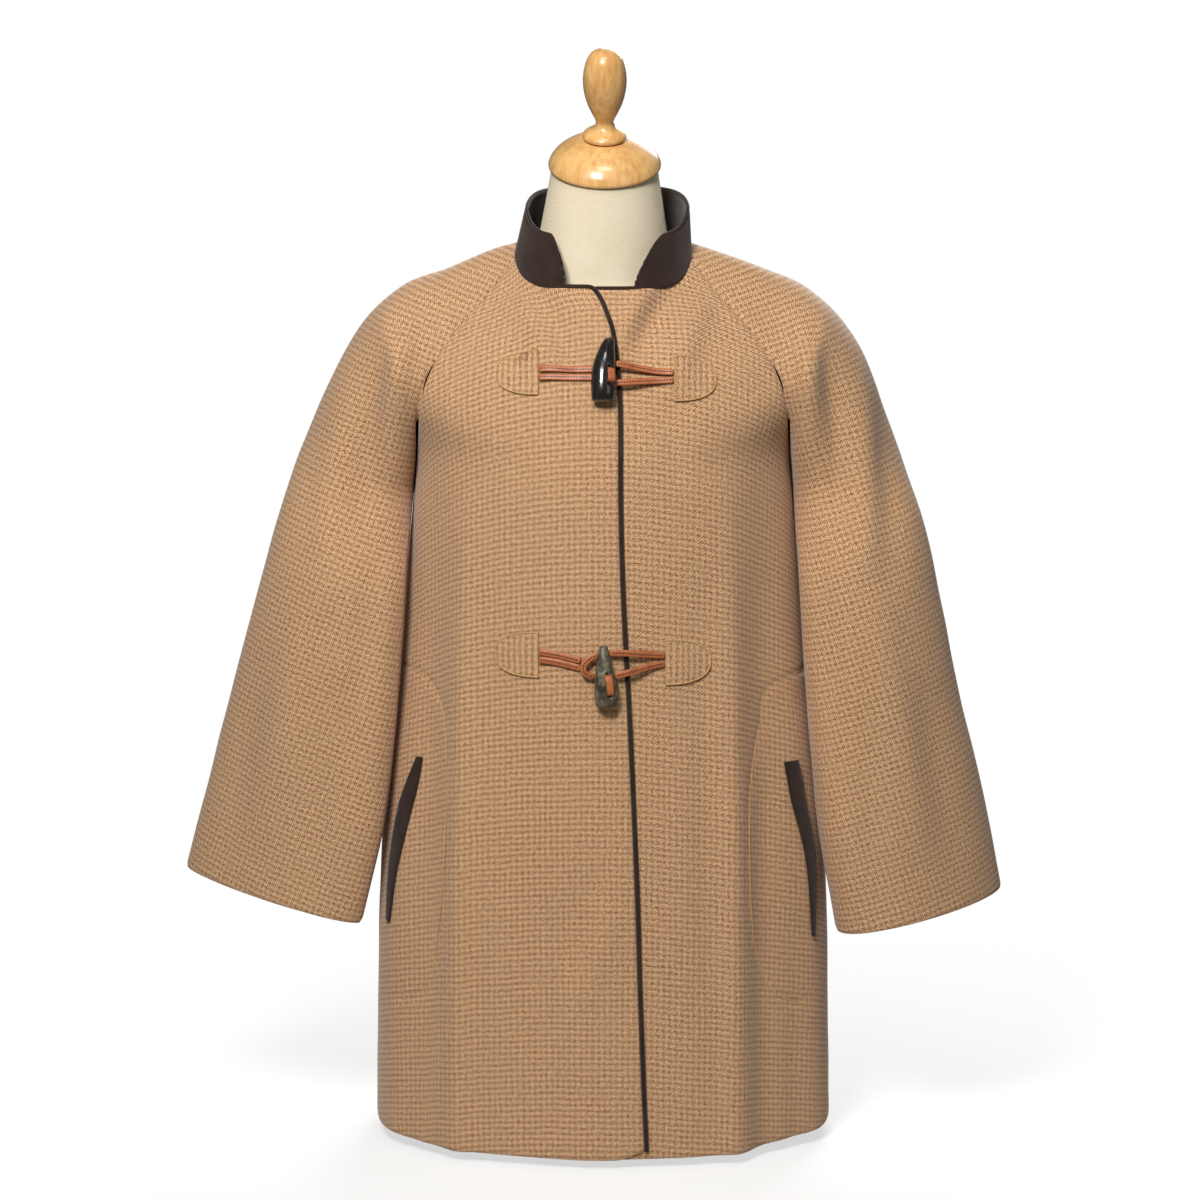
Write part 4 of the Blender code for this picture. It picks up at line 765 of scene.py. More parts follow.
def front_point(x, level):
    """The point of the front's rings at an x and a level, and its outward direction."""
    across = np.array(across_at_x(FRONT_ROWS, x, level))
    return panel_point(FRONT_ROWS, across, level), panel_normal(FRONT_ROWS, across, level)


def front_place(x, z, lift=0.0, lapped=False):
    """A point over the creased front at a place seen from the front, and its outward direction."""
    point, normal = front_point(x, level_at(x, z))
    rise = crease_height(FRONT_CREASES, np.array(x), np.array(z)) + lift
    return point + normal * (rise + (lap_rise(x) if lapped else 0.0)), normal


def bezier(start, leave, arrive, end, t):
    """Points on a curve, at each share t of the way."""
    t = np.asarray(t)[..., None]
    return (start * (1 - t) ** 3 + leave * 3 * t * (1 - t) ** 2
            + arrive * 3 * t * t * (1 - t) + end * t ** 3)


def neck_ring(sign, places):
    """The sleeve head's stretch of the neckline, from the front seam at 0 to the back seam at 1."""
    start, end = FRONT_ROWS[0].seam_y, BACK_ROWS[0].seam_y
    turn = [math.asin((y - NECK_WIDEST_Y) / NECK_BACK_REACH) for y in (start, end)]
    angle = turn[0] + (turn[1] - turn[0]) * places
    y = NECK_WIDEST_Y + NECK_BACK_REACH * np.sin(angle)
    x = sign * (NECK_HALF_WIDTH * np.cos(angle) + SEAM_GAP)
    return np.stack([x, y, NECK_MIDDLE_Z + NECK_SLOPE * y - NECK_ROUNDING * y * y], axis=-1)


def sleeve_row(side, level, shares):
    """Over the arm from the front of the seam to its back. The shares run from 0 at the seam to 1
    on the outside of the arm."""
    sign = SIDE_SIGN[side]
    row = row_at(SLEEVE_ROWS[side], level)
    outer = np.array([sign * row.outer_x, row.outer_y, row.outer_z])
    inner = np.array([sign * row.inner_x, row.inner_y, row.inner_z])
    chord = unit(outer - inner)
    forward = np.array([0.0, -1.0, 0.0])
    forward = unit(forward - chord * forward.dot(chord))
    if level < 1:
        crease = smoothstep(CREASE_FROM_LEVEL, 1.0, level)
        ends = []
        for rows, way in ((FRONT_ROWS, forward), (BACK_ROWS, -forward)):
            point = panel_point(rows, sign, level)
            onward = unit(point - panel_point(rows, sign * SEAM_NEAR, level))
            normal = panel_normal(rows, np.array(float(sign)), level)
            gap_way = unit(onward + (normal - onward) * crease)
            ends.append((point + gap_way * SEAM_GAP, unit(onward + (way - onward) * crease)))
        (front, front_way), (back, back_way) = ends
    else:
        front = back = inner
        front_way, back_way = np.array([0.0, -1.0, 0.0]), np.array([0.0, 1.0, 0.0])
    front_half = bezier(front, front + front_way * row.front_swell,
                        outer + forward * row.front_swell, outer, shares)
    back_half = bezier(outer, outer - forward * row.back_swell,
                       back + back_way * row.back_swell, back, 1 - shares[::-1])
    points = np.concatenate([front_half, back_half[1:]])
    ring_share = 1 - smoothstep(0.0, NECK_RING_UNTIL, level)
    if ring_share:
        places = np.concatenate([shares / 2, 1 - shares[-2::-1] / 2])
        points = points + (neck_ring(sign, places) - points) * ring_share
    return points


def eased(grid, shares, rounds):
    """The grid with its inner points drawn to their neighbours, by a share for each row."""
    grid = grid.copy()
    pull = np.array(shares)[1:-1, None, None]
    for _ in range(rounds):
        middle = (grid[:-2, 1:-1] + grid[2:, 1:-1] + grid[1:-1, :-2] + grid[1:-1, 2:]) / 4
        grid[1:-1, 1:-1] += (middle - grid[1:-1, 1:-1]) * pull
    return grid


# ---- grids of points ----
def spread(length, step=CLOTH_STEP):
    """Shares of a length, a step apart and closer beside both ends."""
    edge = np.array(EDGE_PLACES)
    steps = max(2, round((length - 2 * edge[-1]) / step))
    inner = np.linspace(edge[-1], length - edge[-1], steps + 1)
    return np.concatenate([edge[:-1], inner, length - edge[-2::-1]]) / length


def level_rows(upper, lower):
    """Levels from 0 to 2, where level 0 to 1 is the upper length and level 1 to 2 the lower."""
    places = spread(upper + lower) * (upper + lower)
    return [float(p / upper if p < upper else 1 + (p - upper) / lower) for p in places]


def grid_normals(grid):
    """The direction square to a grid of points. Seen from there, columns run to the left or right
    as rows run down."""
    along = np.gradient(grid, axis=1)
    down = np.gradient(grid, axis=0)
    return unit(np.cross(down, along))


def lengths(grid, axis):
    """How far along an axis each point of a grid lies, and how long that line is."""
    steps = np.linalg.norm(np.diff(grid, axis=axis), axis=-1)
    start = np.zeros_like(np.take(steps, [0], axis=axis))
    run = np.concatenate([start, np.cumsum(steps, axis=axis)], axis=axis)
    return run, np.take(run, [-1], axis=axis)


def line_lengths(line):
    """How far along a line each of its points lies."""
    return np.concatenate([[0.0], np.cumsum(np.linalg.norm(np.diff(line, axis=0), axis=1))])


def points_along(line, run, at):
    """The points of a line at some distances along it."""
    return np.stack([np.interp(at, run, column) for column in np.array(line).T], axis=-1)


def seam_profile(distance):
    """The cloth's height beside a sewn edge."""
    dip = -SEAM_DIP * (1 - smoothstep(0.0, SEAM_DIP_WIDTH, distance))
    off = (distance - SEAM_RIDGE_AT) / SEAM_RIDGE_WIDTH
    return dip + SEAM_RIDGE * np.exp(-off * off)


def fold_profile(distance):
    """The cloth's height beside a folded edge."""
    return -HEM_DIP * (1 - smoothstep(0.0, HEM_DIP_WIDTH, distance)) ** 2


def cloth_wave(grid, seed):
    """The gentle unevenness of hanging cloth."""
    flat = grid.reshape(-1, 3)
    shift = Vector((seed, -seed, seed))
    wave = [noise.noise(Vector(point) / CLOTH_WAVE_SIZE + shift) for point in flat]
    return CLOTH_WAVE * np.array(wave).reshape(grid.shape[:2])


def path_points(places, step):
    """Points a step apart along a smooth line through some places."""
    places = np.array(places, float)
    count = len(places)
    fine = []
    for i in range(count - 1):
        before, start = places[max(0, i - 1)], places[i]
        end, after = places[i + 1], places[min(count - 1, i + 2)]
        leave, arrive = start + (end - before) / 6, end - (after - start) / 6
        shares = np.linspace(0, 1, CURVE_STEPS, endpoint=False)
        fine.append(bezier(start, leave, arrive, end, shares))
    line = np.concatenate([*fine, places[-1:]])
    run = line_lengths(line)
    return points_along(line, run, np.linspace(0.0, run[-1], max(2, round(run[-1] / step)) + 1))


def pocket_groove(x, z):
    """The line of the pocket's seam draws the cloth in."""
    nearest = np.full(x.shape, 1.0)
    for places in POCKETS.values():
        for px, pz in path_points(places, POCKET_GROOVE_STEP):
            nearest = np.minimum(nearest, np.hypot(x - px, z - pz))
    return -POCKET_GROOVE * np.exp(-(nearest / POCKET_GROOVE_WIDTH) ** 2)


# ---- making objects ----
def add_object(name, vertices, faces, look, flat_coordinates=None):
    mesh = bpy.data.meshes.new(name)
    mesh.from_pydata([tuple(v) for v in vertices], [], faces)
    mesh.materials.append(look)
    mesh.shade_smooth()
    if flat_coordinates is not None:
        corners = np.empty(len(mesh.loops), dtype=np.int32)
        mesh.loops.foreach_get("vertex_index", corners)
        layer = mesh.uv_layers.new(name="cloth")
        layer.data.foreach_set("uv", flat_coordinates[corners].astype(np.float32).ravel())
    obj = bpy.data.objects.new(name, mesh)
    bpy.context.scene.collection.objects.link(obj)
    return obj


def finish_piece(obj, slot, *nodes):
    """The piece moves with the whole part and stands for the solids that it covers."""
    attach(obj, "root")
    if nodes:
        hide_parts(*nodes)


def rim_of(rows, columns):
    """Once round a grid's border: each border point's number, and its neighbour's inside."""
    border, inside = [], []
    for c in range(columns):
        border.append((0, c))
        inside.append((1, c))
    for r in range(1, rows):
        border.append((r, columns - 1))
        inside.append((r, columns - 2))
    for c in range(columns - 2, -1, -1):
        border.append((rows - 1, c))
        inside.append((rows - 2, c))
    for r in range(rows - 2, 0, -1):
        border.append((r, 0))
        inside.append((r, 1))
    number = np.array([1, 0]) * columns + np.array([0, 1])
    return np.array(border) @ number, np.array(inside) @ number


def add_shell(name, outer, thickness, look, flat=None):
    """A closed wall with a rounded rim. It reaches inwards from a grid of points, whose normals
    point out."""
    rows, columns = outer.shape[:2]
    inner = outer - grid_normals(outer) * thickness
    outer_line, inner_line = outer.reshape(-1, 3), inner.reshape(-1, 3)
    count = len(outer_line)
    border, inside = rim_of(rows, columns)
    away = unit(outer_line[border] - outer_line[inside])
    middle = (outer_line[border] + inner_line[border]) / 2 + away * thickness * RIM_BULGE
    first = np.arange(count).reshape(rows, columns)
    quads = np.stack([first[:-1, :-1], first[1:, :-1], first[1:, 1:], first[:-1, 1:]],
                     axis=-1).reshape(-1, 4)
    ring = np.arange(len(border))
    after = (ring + 1) % len(border)
    rim, rim_after = ring + 2 * count, after + 2 * count
    faces = np.concatenate([
        quads,
        quads[:, ::-1] + count,
        np.stack([border[ring], border[after], rim_after, rim], axis=-1),
        np.stack([rim, rim_after, border[after] + count, border[ring] + count], axis=-1),
    ])
    vertices = np.concatenate([outer_line, inner_line, middle])
    if flat is not None:
        flat_line = flat.reshape(-1, 2)
        flat = np.concatenate([flat_line, flat_line, flat_line[border]])
    return add_object(name, vertices, faces.tolist(), look, flat)


def add_tube(name, rings, look, flat=None):
    """A solid through closed rings of points, with a cap at each end."""
    rings = np.asarray(rings)
    rows, count = rings.shape[:2]
    first = np.arange(rows * count).reshape(rows, count)
    after = np.roll(first, -1, axis=1)
    quads = np.stack([first[:-1], after[:-1], after[1:], first[1:]], axis=-1).reshape(-1, 4)
    faces = quads.tolist() + [first[0][::-1].tolist(), first[-1].tolist()]
    obj = add_object(name, rings.reshape(-1, 3), faces, look,
                     None if flat is None else flat.reshape(-1, 2))
    shell = bmesh.new()
    shell.from_mesh(obj.data)
    bmesh.ops.recalc_face_normals(shell, faces=shell.faces)
    shell.to_mesh(obj.data)
    shell.free()
    return obj


def rounded_section(centre, wide, deep, sides, squareness):
    """A ring round a centre: wide and deep are its half sizes, as vectors."""
    angle = 2 * math.pi * (np.arange(sides) + 0.5) / sides
    power = 2 / squareness
    c, s = np.cos(angle), np.sin(angle)
    c, s = np.sign(c) * np.abs(c) ** power, np.sign(s) * np.abs(s) ** power
    return centre + np.outer(c, wide) + np.outer(s, deep)


def add_strap(name, centres, normals, width, thickness, look):
    """A flat strap with rounded edges along some centres."""
    centres, normals = np.array(centres), np.array(normals)
    along = unit(np.gradient(centres, axis=0))
    wide = unit(np.cross(along, normals)) * width / 2
    rings = []
    for i, centre in enumerate(centres):
        ease = STRAP_END_SIZE if i in (0, len(centres) - 1) else 1.0
        rings.append(rounded_section(centre, wide[i] * ease, normals[i] * thickness / 2 * ease,
                                     STRAP_SIDES, STRAP_SQUARENESS))
    across = np.cos(2 * math.pi * (np.arange(STRAP_SIDES) + 0.5) / STRAP_SIDES) * width / 2
    flat = np.stack([np.repeat(line_lengths(centres)[:, None], STRAP_SIDES, axis=1),
                     np.repeat(across[None], len(centres), axis=0)], axis=-1)
    return add_tube(name, rings, look, flat)


def add_stitches(name, places, stitching, look):
    """Short rounded threads, each lying along the line of places and half sunk into the cloth.
    A place is a point, the line's direction there and the outward direction."""
    vertices, faces = [], []
    for point, along, normal in places:
        side = np.cross(along, normal)
        start = len(vertices)
        for place, size in STITCH_RINGS:
            bow = stitching.radius * (STITCH_LIFT - STITCH_BOW * place * place)
            centre = point + along * stitching.length * place + normal * bow
            for k in range(STITCH_SIDES):
                angle = 2 * math.pi * k / STITCH_SIDES
                vertices.append(centre + (side * math.cos(angle) + normal * math.sin(angle))
                                * stitching.radius * size)
        end = start + (len(STITCH_RINGS) - 1) * STITCH_SIDES
        for ring in range(start, end, STITCH_SIDES):
            for k in range(STITCH_SIDES):
                a, b = ring + k, ring + (k + 1) % STITCH_SIDES
                faces.append([a, a + STITCH_SIDES, b + STITCH_SIDES, b])
        faces.append([start + k for k in range(STITCH_SIDES)])
        faces.append([end + k for k in reversed(range(STITCH_SIDES))])
    return add_object(name, vertices, faces, look)


# ---- materials ----
class Look:
    """A Principled material, with short ways to add nodes and join them."""

    def __init__(self, name, **uniform):
        self.material = bpy.data.materials.new(name)
        self.material.use_nodes = True
        self.tree = self.material.node_tree
        self.shader = self.tree.nodes["Principled BSDF"]
        for socket, value in uniform.items():
            self.shader.inputs[socket.replace("_", " ")].default_value = value

    def put(self, socket, value):
        if isinstance(value, bpy.types.NodeSocket):
            self.tree.links.new(value, socket)
        else:
            socket.default_value = value

    def node(self, kind, inputs=(), **settings):
        made = self.tree.nodes.new("ShaderNode" + kind)
        for key, value in settings.items():
            setattr(made, key, value)
        for key, value in dict(inputs).items():
            self.put(made.inputs[key], value)
        return made

    def maths(self, operation, *values):
        made = self.node("Math", operation=operation)
        for socket, value in zip(made.inputs, values):
            self.put(socket, value)
        return made.outputs[0]

    def times(self, first, second):
        return self.maths("MULTIPLY", first, second)

    def weighted(self, *terms):
        """The sum of some values, each times its weight."""
        total = None
        for value, weight in terms:
            term = value if weight == 1 else self.times(value, weight)
            total = term if total is None else self.maths("ADD", total, term)
        return total

    def place(self):
        """The place in the part's own frame, in metres."""
        return self.node("TexCoord").outputs["Object"]

    def stretched(self, scale):
        """The place, with each axis multiplied."""
        return self.node("VectorMath", {0: self.place(), 1: scale},
                         operation="MULTIPLY").outputs[0]

    def cloth_place(self):
        """How far across and how far down the cloth, in metres."""
        where = self.node("UVMap", uv_map="cloth").outputs[0]
        parts = self.node("SeparateXYZ", {0: where})
        return parts.outputs[0], parts.outputs[1]

    def joined(self, x, y):
        return self.node("CombineXYZ", {0: x, 1: y}).outputs[0]

    def noise(self, where, size, detail=2.0, roughness=0.5):
        """Soft noise from 0 to 1, with spots of a size in metres."""
        return self.node("TexNoise", {"Vector": where, "Scale": 1 / size, "Detail": detail,
                                      "Roughness": roughness}).outputs[0]

    def between(self, value, low, high, to_low=0.0, to_high=1.0):
        """The value's smooth share of the way from low to high."""
        made = self.node("MapRange", {"Value": value, "From Min": low, "From Max": high,
                                      "To Min": to_low, "To Max": to_high},
                         interpolation_type="SMOOTHSTEP")
        return made.outputs[0]

    def mix(self, share, first, second):
        made = self.node("Mix", data_type="RGBA")
        self.put(made.inputs[0], share)
        for socket, value in ((made.inputs[6], first), (made.inputs[7], second)):
            self.put(socket, (*value, 1.0) if isinstance(value, tuple) else value)
        return made.outputs[2]

    def wave(self, where, period):
        """A wave from -1 to 1 that repeats after a period in metres."""
        return self.maths("SINE", self.times(where, 2 * math.pi / period))

    def finish(self, colour, height=None, depth=0.0003, roughness=None):
        self.put(self.shader.inputs["Base Color"], colour)
        if roughness is not None:
            self.put(self.shader.inputs["Roughness"], roughness)
        if height is not None:
            bump = self.node("Bump", {"Height": height, "Strength": 1.0, "Distance": depth})
            self.put(self.shader.inputs["Normal"], bump.outputs[0])
        return self.material


@lru_cache(maxsize=None)
def tweed():
    """Sand cloth with a small soft check: tan bars along the weft, fainter ones along the warp,
    and twill flecks and uneven yarn over both."""
    look = Look("tweed", Roughness=0.88, Sheen_Weight=0.22, Sheen_Roughness=0.55,
                Specular_IOR_Level=0.16)
    u, v = look.cloth_place()
    drift = look.noise(look.place(), 0.022, 1.0)
    wobble = look.times(look.maths("SUBTRACT", drift, 0.5), 0.0022)
    u, v = look.weighted((u, 1), (wobble, 1)), look.weighted((v, 1), (wobble, 1))
    weft = look.between(look.wave(v, CHECK), -1.0, 1.0)
    warp = look.between(look.wave(u, CHECK), -0.8, 1.0)
    twill = look.wave(look.weighted((u, 1), (v, 1)), TWILL)
    yarn = look.noise(look.joined(look.times(u, 0.5), v), 0.0012, 2.0, 0.8)
    fleck = look.noise(look.joined(u, look.times(v, 0.7)), 0.0017, 2.0, 0.8)
    cloud = look.noise(look.place(), 0.09, 2.0)
    bars = look.weighted((weft, 0.36), (warp, 0.19), (look.times(weft, warp), 0.06))
    bars = look.times(bars, look.between(fleck, 0.38, 0.62, 0.45, 1.60))
    bars = look.weighted((bars, 1), (look.between(twill, -0.9, 0.9), 0.42),
                         (look.between(yarn, 0.40, 0.60, 0.36, -0.26), 1))
    colour = look.mix(bars, SAND_LIGHT, BROWN_BAR)
    colour = look.mix(look.between(cloud, 0.30, 0.72, 0.0, 0.10), colour, SAND)
    return look.finish(colour, look.weighted((twill, 0.20), (yarn, 1), (fleck, 0.6)), 0.00018)


@lru_cache(maxsize=None)
def brown_wool():
    """Felted wool, a little uneven and fuzzy."""
    look = Look("brown_wool", Roughness=0.92, Sheen_Weight=0.22, Sheen_Roughness=0.5,
                Specular_IOR_Level=0.15)
    fuzz = look.noise(look.place(), 0.0011, 3.0, 0.75)
    cloud = look.noise(look.place(), 0.020, 2.0)
    share = look.weighted((fuzz, 0.7), (cloud, 0.4))
    colour = look.mix(look.between(share, 0.38, 0.80), WOOL_DARK, WOOL_LIGHT)
    return look.finish(colour, fuzz, 0.00025)


@lru_cache(maxsize=None)
def leather():
    """Tan bridle leather: a fine grain, darker towards the straps' edges."""
    look = Look("leather", Roughness=0.42, Coat_Weight=0.12, Coat_Roughness=0.3)
    _, across = look.cloth_place()
    edge = look.between(look.maths("ABSOLUTE", across), 0.0022, 0.0033)
    grain = look.node("TexVoronoi", {"Vector": look.place(), "Scale": 1 / 0.0009}).outputs[0]
    cloud = look.noise(look.place(), 0.006, 3.0, 0.6)
    dark = look.weighted((edge, 0.65), (look.between(cloud, 0.45, 0.75, 0.0, 0.40), 1))
    colour = look.mix(dark, LEATHER_TAN, LEATHER_DARK)
    return look.finish(colour, grain, 0.00010, look.between(cloud, 0.3, 0.7, 0.36, 0.52))


@lru_cache(maxsize=None)
def horn():
    """Polished dark horn with faint grey streaks along its length."""
    look = Look("horn", Roughness=0.16, Coat_Weight=0.6, Coat_Roughness=0.06)
    streak = look.noise(look.stretched((1.0, 1.0, 0.10)), 0.0030, 4.0, 0.6)
    scratch = look.noise(look.stretched((1.0, 1.0, 0.2)), 0.0009, 2.0)
    colour = look.mix(look.between(streak, 0.50, 0.78), HORN_BLACK, HORN_GREY)
    return look.finish(colour, scratch, 0.00003, look.between(scratch, 0.3, 0.8, 0.12, 0.26))


@lru_cache(maxsize=None)
def antler():
    """Mottled antler bark: pale ridges along its length over dark green-brown."""
    look = Look("antler", Roughness=0.5, Coat_Weight=0.2, Coat_Roughness=0.3)
    ridge = look.noise(look.stretched((1.0, 1.0, 0.30)), 0.0042, 5.0, 0.65)
    mottle = look.noise(look.place(), 0.0075, 3.0, 0.6)
    pit = look.noise(look.stretched((1.0, 1.0, 0.5)), 0.0016, 3.0, 0.7)
    share = look.weighted((ridge, 0.6), (mottle, 0.45))
    colour = look.mix(look.between(share, 0.42, 0.68), ANTLER_DARK, ANTLER_PALE)
    height = look.weighted((ridge, 1), (pit, 0.4))
    return look.finish(colour, height, 0.0011, look.between(pit, 0.3, 0.7, 0.35, 0.6))


@lru_cache(maxsize=None)
def beech():
    """Turned and varnished beech with long soft grain and short dark flecks."""
    look = Look("beech", Roughness=0.34, Coat_Weight=0.7, Coat_Roughness=0.10)
    bend = look.noise(look.place(), 0.030, 2.0)
    grain = look.noise(look.stretched((1.0, 1.0, 0.10)), 0.0045, 4.0, 0.6)
    fleck = look.noise(look.stretched((1.0, 1.0, 0.16)), 0.0010, 2.0, 0.6)
    share = look.weighted((grain, 0.7), (bend, 0.4))
    colour = look.mix(look.between(share, 0.40, 0.75), BEECH_PALE, BEECH_DEEP)
    colour = look.mix(look.between(fleck, 0.60, 0.74, 0.0, 0.45), colour, BEECH_DEEP)
    return look.finish(colour, fleck, 0.00004)


@lru_cache(maxsize=None)
def form_cloth():
    """Smooth cream cotton in a fine plain weave."""
    look = Look("form_cloth", Roughness=0.82, Sheen_Weight=0.15, Sheen_Roughness=0.5)
    parts = look.node("SeparateXYZ", {0: look.place()})
    around = look.weighted((parts.outputs[0], 1), (parts.outputs[1], 0.7))
    weave = look.times(look.wave(around, FORM_WEAVE), look.wave(parts.outputs[2], FORM_WEAVE))
    slub = look.noise(look.stretched((1.0, 1.0, 3.0)), 0.004, 3.0, 0.6)
    cloud = look.noise(look.place(), 0.05, 2.0)
    share = look.weighted((slub, 0.5), (cloud, 0.5), (weave, 0.10))
    colour = look.mix(look.between(share, 0.30, 0.80), CREAM, CREAM_DEEP)
    return look.finish(colour, look.weighted((weave, 1), (slub, 1)), 0.00012)


@lru_cache(maxsize=None)
def stand_metal():
    """Powder-coated steel."""
    look = Look("stand_metal", Metallic=0.6)
    grain = look.noise(look.place(), 0.0012, 2.0)
    wear = look.noise(look.place(), 0.030, 3.0, 0.6)
    colour = look.mix(look.between(wear, 0.45, 0.75), METAL_DARK, METAL_PALE)
    return look.finish(colour, grain, 0.00008, look.between(wear, 0.3, 0.7, 0.38, 0.55))


@lru_cache(maxsize=None)
def thread(name, colour):
    """Twisted thread, a little uneven along its length."""
    look = Look(name, Roughness=0.6, Sheen_Weight=0.2)
    twist = look.noise(look.place(), 0.0006, 2.0)
    dark = tuple(channel * 0.55 for channel in colour)
    return look.finish(look.mix(look.between(twist, 0.35, 0.65), dark, colour), twist, 0.00008)


# ---- the coat's cut pieces ----
def panel_flat(grid, middle_column_z, middle_run, tilt):
    """Where a front's or back's points lie in the flat cloth. The panel is flared, so its grain
    fans out like a cone's: the checks drop towards the side seams."""
    level_steps = np.hypot(np.diff(grid[..., 0], axis=1), np.diff(grid[..., 1], axis=1))
    run = np.concatenate([np.zeros((len(grid), 1)), np.cumsum(level_steps, axis=1)], axis=1)
    run = run - np.array([np.interp(0.0, *sorted_pair(row[:, 0], line))
                          for row, line in zip(grid, run)])[:, None]
    run = run * np.sign(grid[0, -1, 0] - grid[0, 0, 0])
    down = np.interp(-grid[..., 2], -middle_column_z, middle_run)
    down = down - np.maximum(0.0, grid[..., 2] - middle_column_z[0])
    from_tip = down + GRAIN_TIP_Z - middle_column_z[0]
    turn = run / from_tip
    drop = tilt * LAP_GRAIN_WIDTH * np.tanh(run / LAP_GRAIN_WIDTH)
    drop = drop * smoothstep(LAP_GRAIN_FROM, LAP_GRAIN_TO, down)
    return np.stack([from_tip * np.sin(turn), from_tip * np.cos(turn) - drop], axis=-1)


def sorted_pair(keys, values):
    """The keys in rising order with their values, for interpolation."""
    order = np.argsort(keys)
    return keys[order], values[order]


def middle_line(rows, levels):
    """The heights of a panel's middle line and how far down the cloth each lies."""
    line = np.array([panel_point(rows, 0.0, level) for level in levels])
    return line[:, 2], line_lengths(line)


def raised_panel(grid, normals, creases, sewn_first, sewn_last, seed):
    """A panel's points with its creases, seams and hem."""
    run, length = lengths(grid, 1)
    down, drop = lengths(grid, 0)
    height = crease_height(creases, grid[..., 0], grid[..., 2]) + cloth_wave(grid, seed)
    height = height + (seam_profile(run) if sewn_first else fold_profile(run))
    height = height + (seam_profile(length - run) if sewn_last else fold_profile(length - run))
    height = height + fold_profile(drop - down)
    return grid + normals * height[..., None]


def make_fronts():
    levels = level_rows(YOKE_LENGTH, SKIRT_LENGTH)
    middle_z, middle_run = middle_line(FRONT_ROWS, levels)
    for side, sign in SIDE_SIGN.items():
        shares = spread(FRONT_ROUND)
        grid, normals = [], []
        for level in levels:
            centre_z = panel_ring(FRONT_ROWS, level)[0].centre_z
            lapped = side == "right"
            edge_x = lap_edge_x(centre_z) - PIPING_WIDTH if lapped else UNDER_EDGE_X
            edge = across_at_x(FRONT_ROWS, edge_x, level)
            across = edge + (sign - edge) * shares
            row = panel_point(FRONT_ROWS, across, level)
            normal = panel_normal(FRONT_ROWS, across, level)
            if lapped:
                row = row + normal * lap_rise(row[:, 0])[:, None]
                near = 1 - smoothstep(0.0, HEM_CORNER_WIDTH, lap_edge_x(centre_z) - row[:, 0])
                row[:, 2] += HEM_CORNER_LIFT * near * smoothstep(HEM_CORNER_LEVEL, 2.0, level)
            row[-1] += unit(row[-2] - row[-1]) * SEAM_GAP / 2
            grid.append(row)
            normals.append(normal)
        grid, normals = np.array(grid), np.array(normals)
        flat = panel_flat(grid, middle_z, middle_run, LAP_GRAIN_TILT if side == "left" else 0.0)
        raised = raised_panel(grid, normals, FRONT_CREASES, False, True, WAVE_SEEDS["front"])
        raised = raised + normals * pocket_groove(grid[..., 0], grid[..., 2])[..., None]
        if side == "right":
            raised, flat = raised[:, ::-1], flat[:, ::-1]
        piece = add_shell(side + "_front", raised, CLOTH, tweed(), flat)
        finish_piece(piece, "tweed", side + "_front")


def make_back():
    levels = level_rows(YOKE_LENGTH + BACK_YOKE_EXTRA, SKIRT_LENGTH)
    middle_z, middle_run = middle_line(BACK_ROWS, levels)
    across = 1 - 2 * spread(BACK_ROUND)
    grid = np.array([panel_point(BACK_ROWS, across, level) for level in levels])
    normals = np.array([panel_normal(BACK_ROWS, across, level) for level in levels])
    grid[:, 0] += unit(grid[:, 1] - grid[:, 0]) * BACK_SEAM_GAP
    grid[:, -1] += unit(grid[:, -2] - grid[:, -1]) * BACK_SEAM_GAP
    flat = panel_flat(grid, middle_z, middle_run, 0.0)
    raised = raised_panel(grid, normals, BACK_CREASES, True, True, WAVE_SEEDS["back"])
    piece = add_shell("back", raised, CLOTH, tweed(), flat)
    finish_piece(piece, "tweed", "back")


def sleeve_flat(grid, side, middle_column, underarm_row):
    """Where a sleeve's points lie in the flat cloth, whose checks are square to the arm. The line
    down the middle of its front is straight. Behind, lengths are measured down the cloth."""
    sign, lean = SIDE_SIGN[side], SLEEVE_GRAIN[side]
    across_way = np.array([math.cos(lean), 0.0, sign * math.sin(lean)])
    down_way = np.array([sign * math.sin(lean), 0.0, -math.cos(lean)])
    down = grid @ down_way
    run, _ = lengths(grid - down[..., None] * down_way, 1)
    out = (grid @ across_way) * sign
    across = run + (out - run)[:, [middle_column // 2]]
    fallen, _ = lengths(grid, 0)
    behind = smoothstep(0.0, SLEEVE_BEHIND, np.arange(grid.shape[1]) / middle_column - 1)
    down = down + (fallen + (down - fallen)[[underarm_row]] - down) * behind
    return np.stack([across, down], axis=-1)


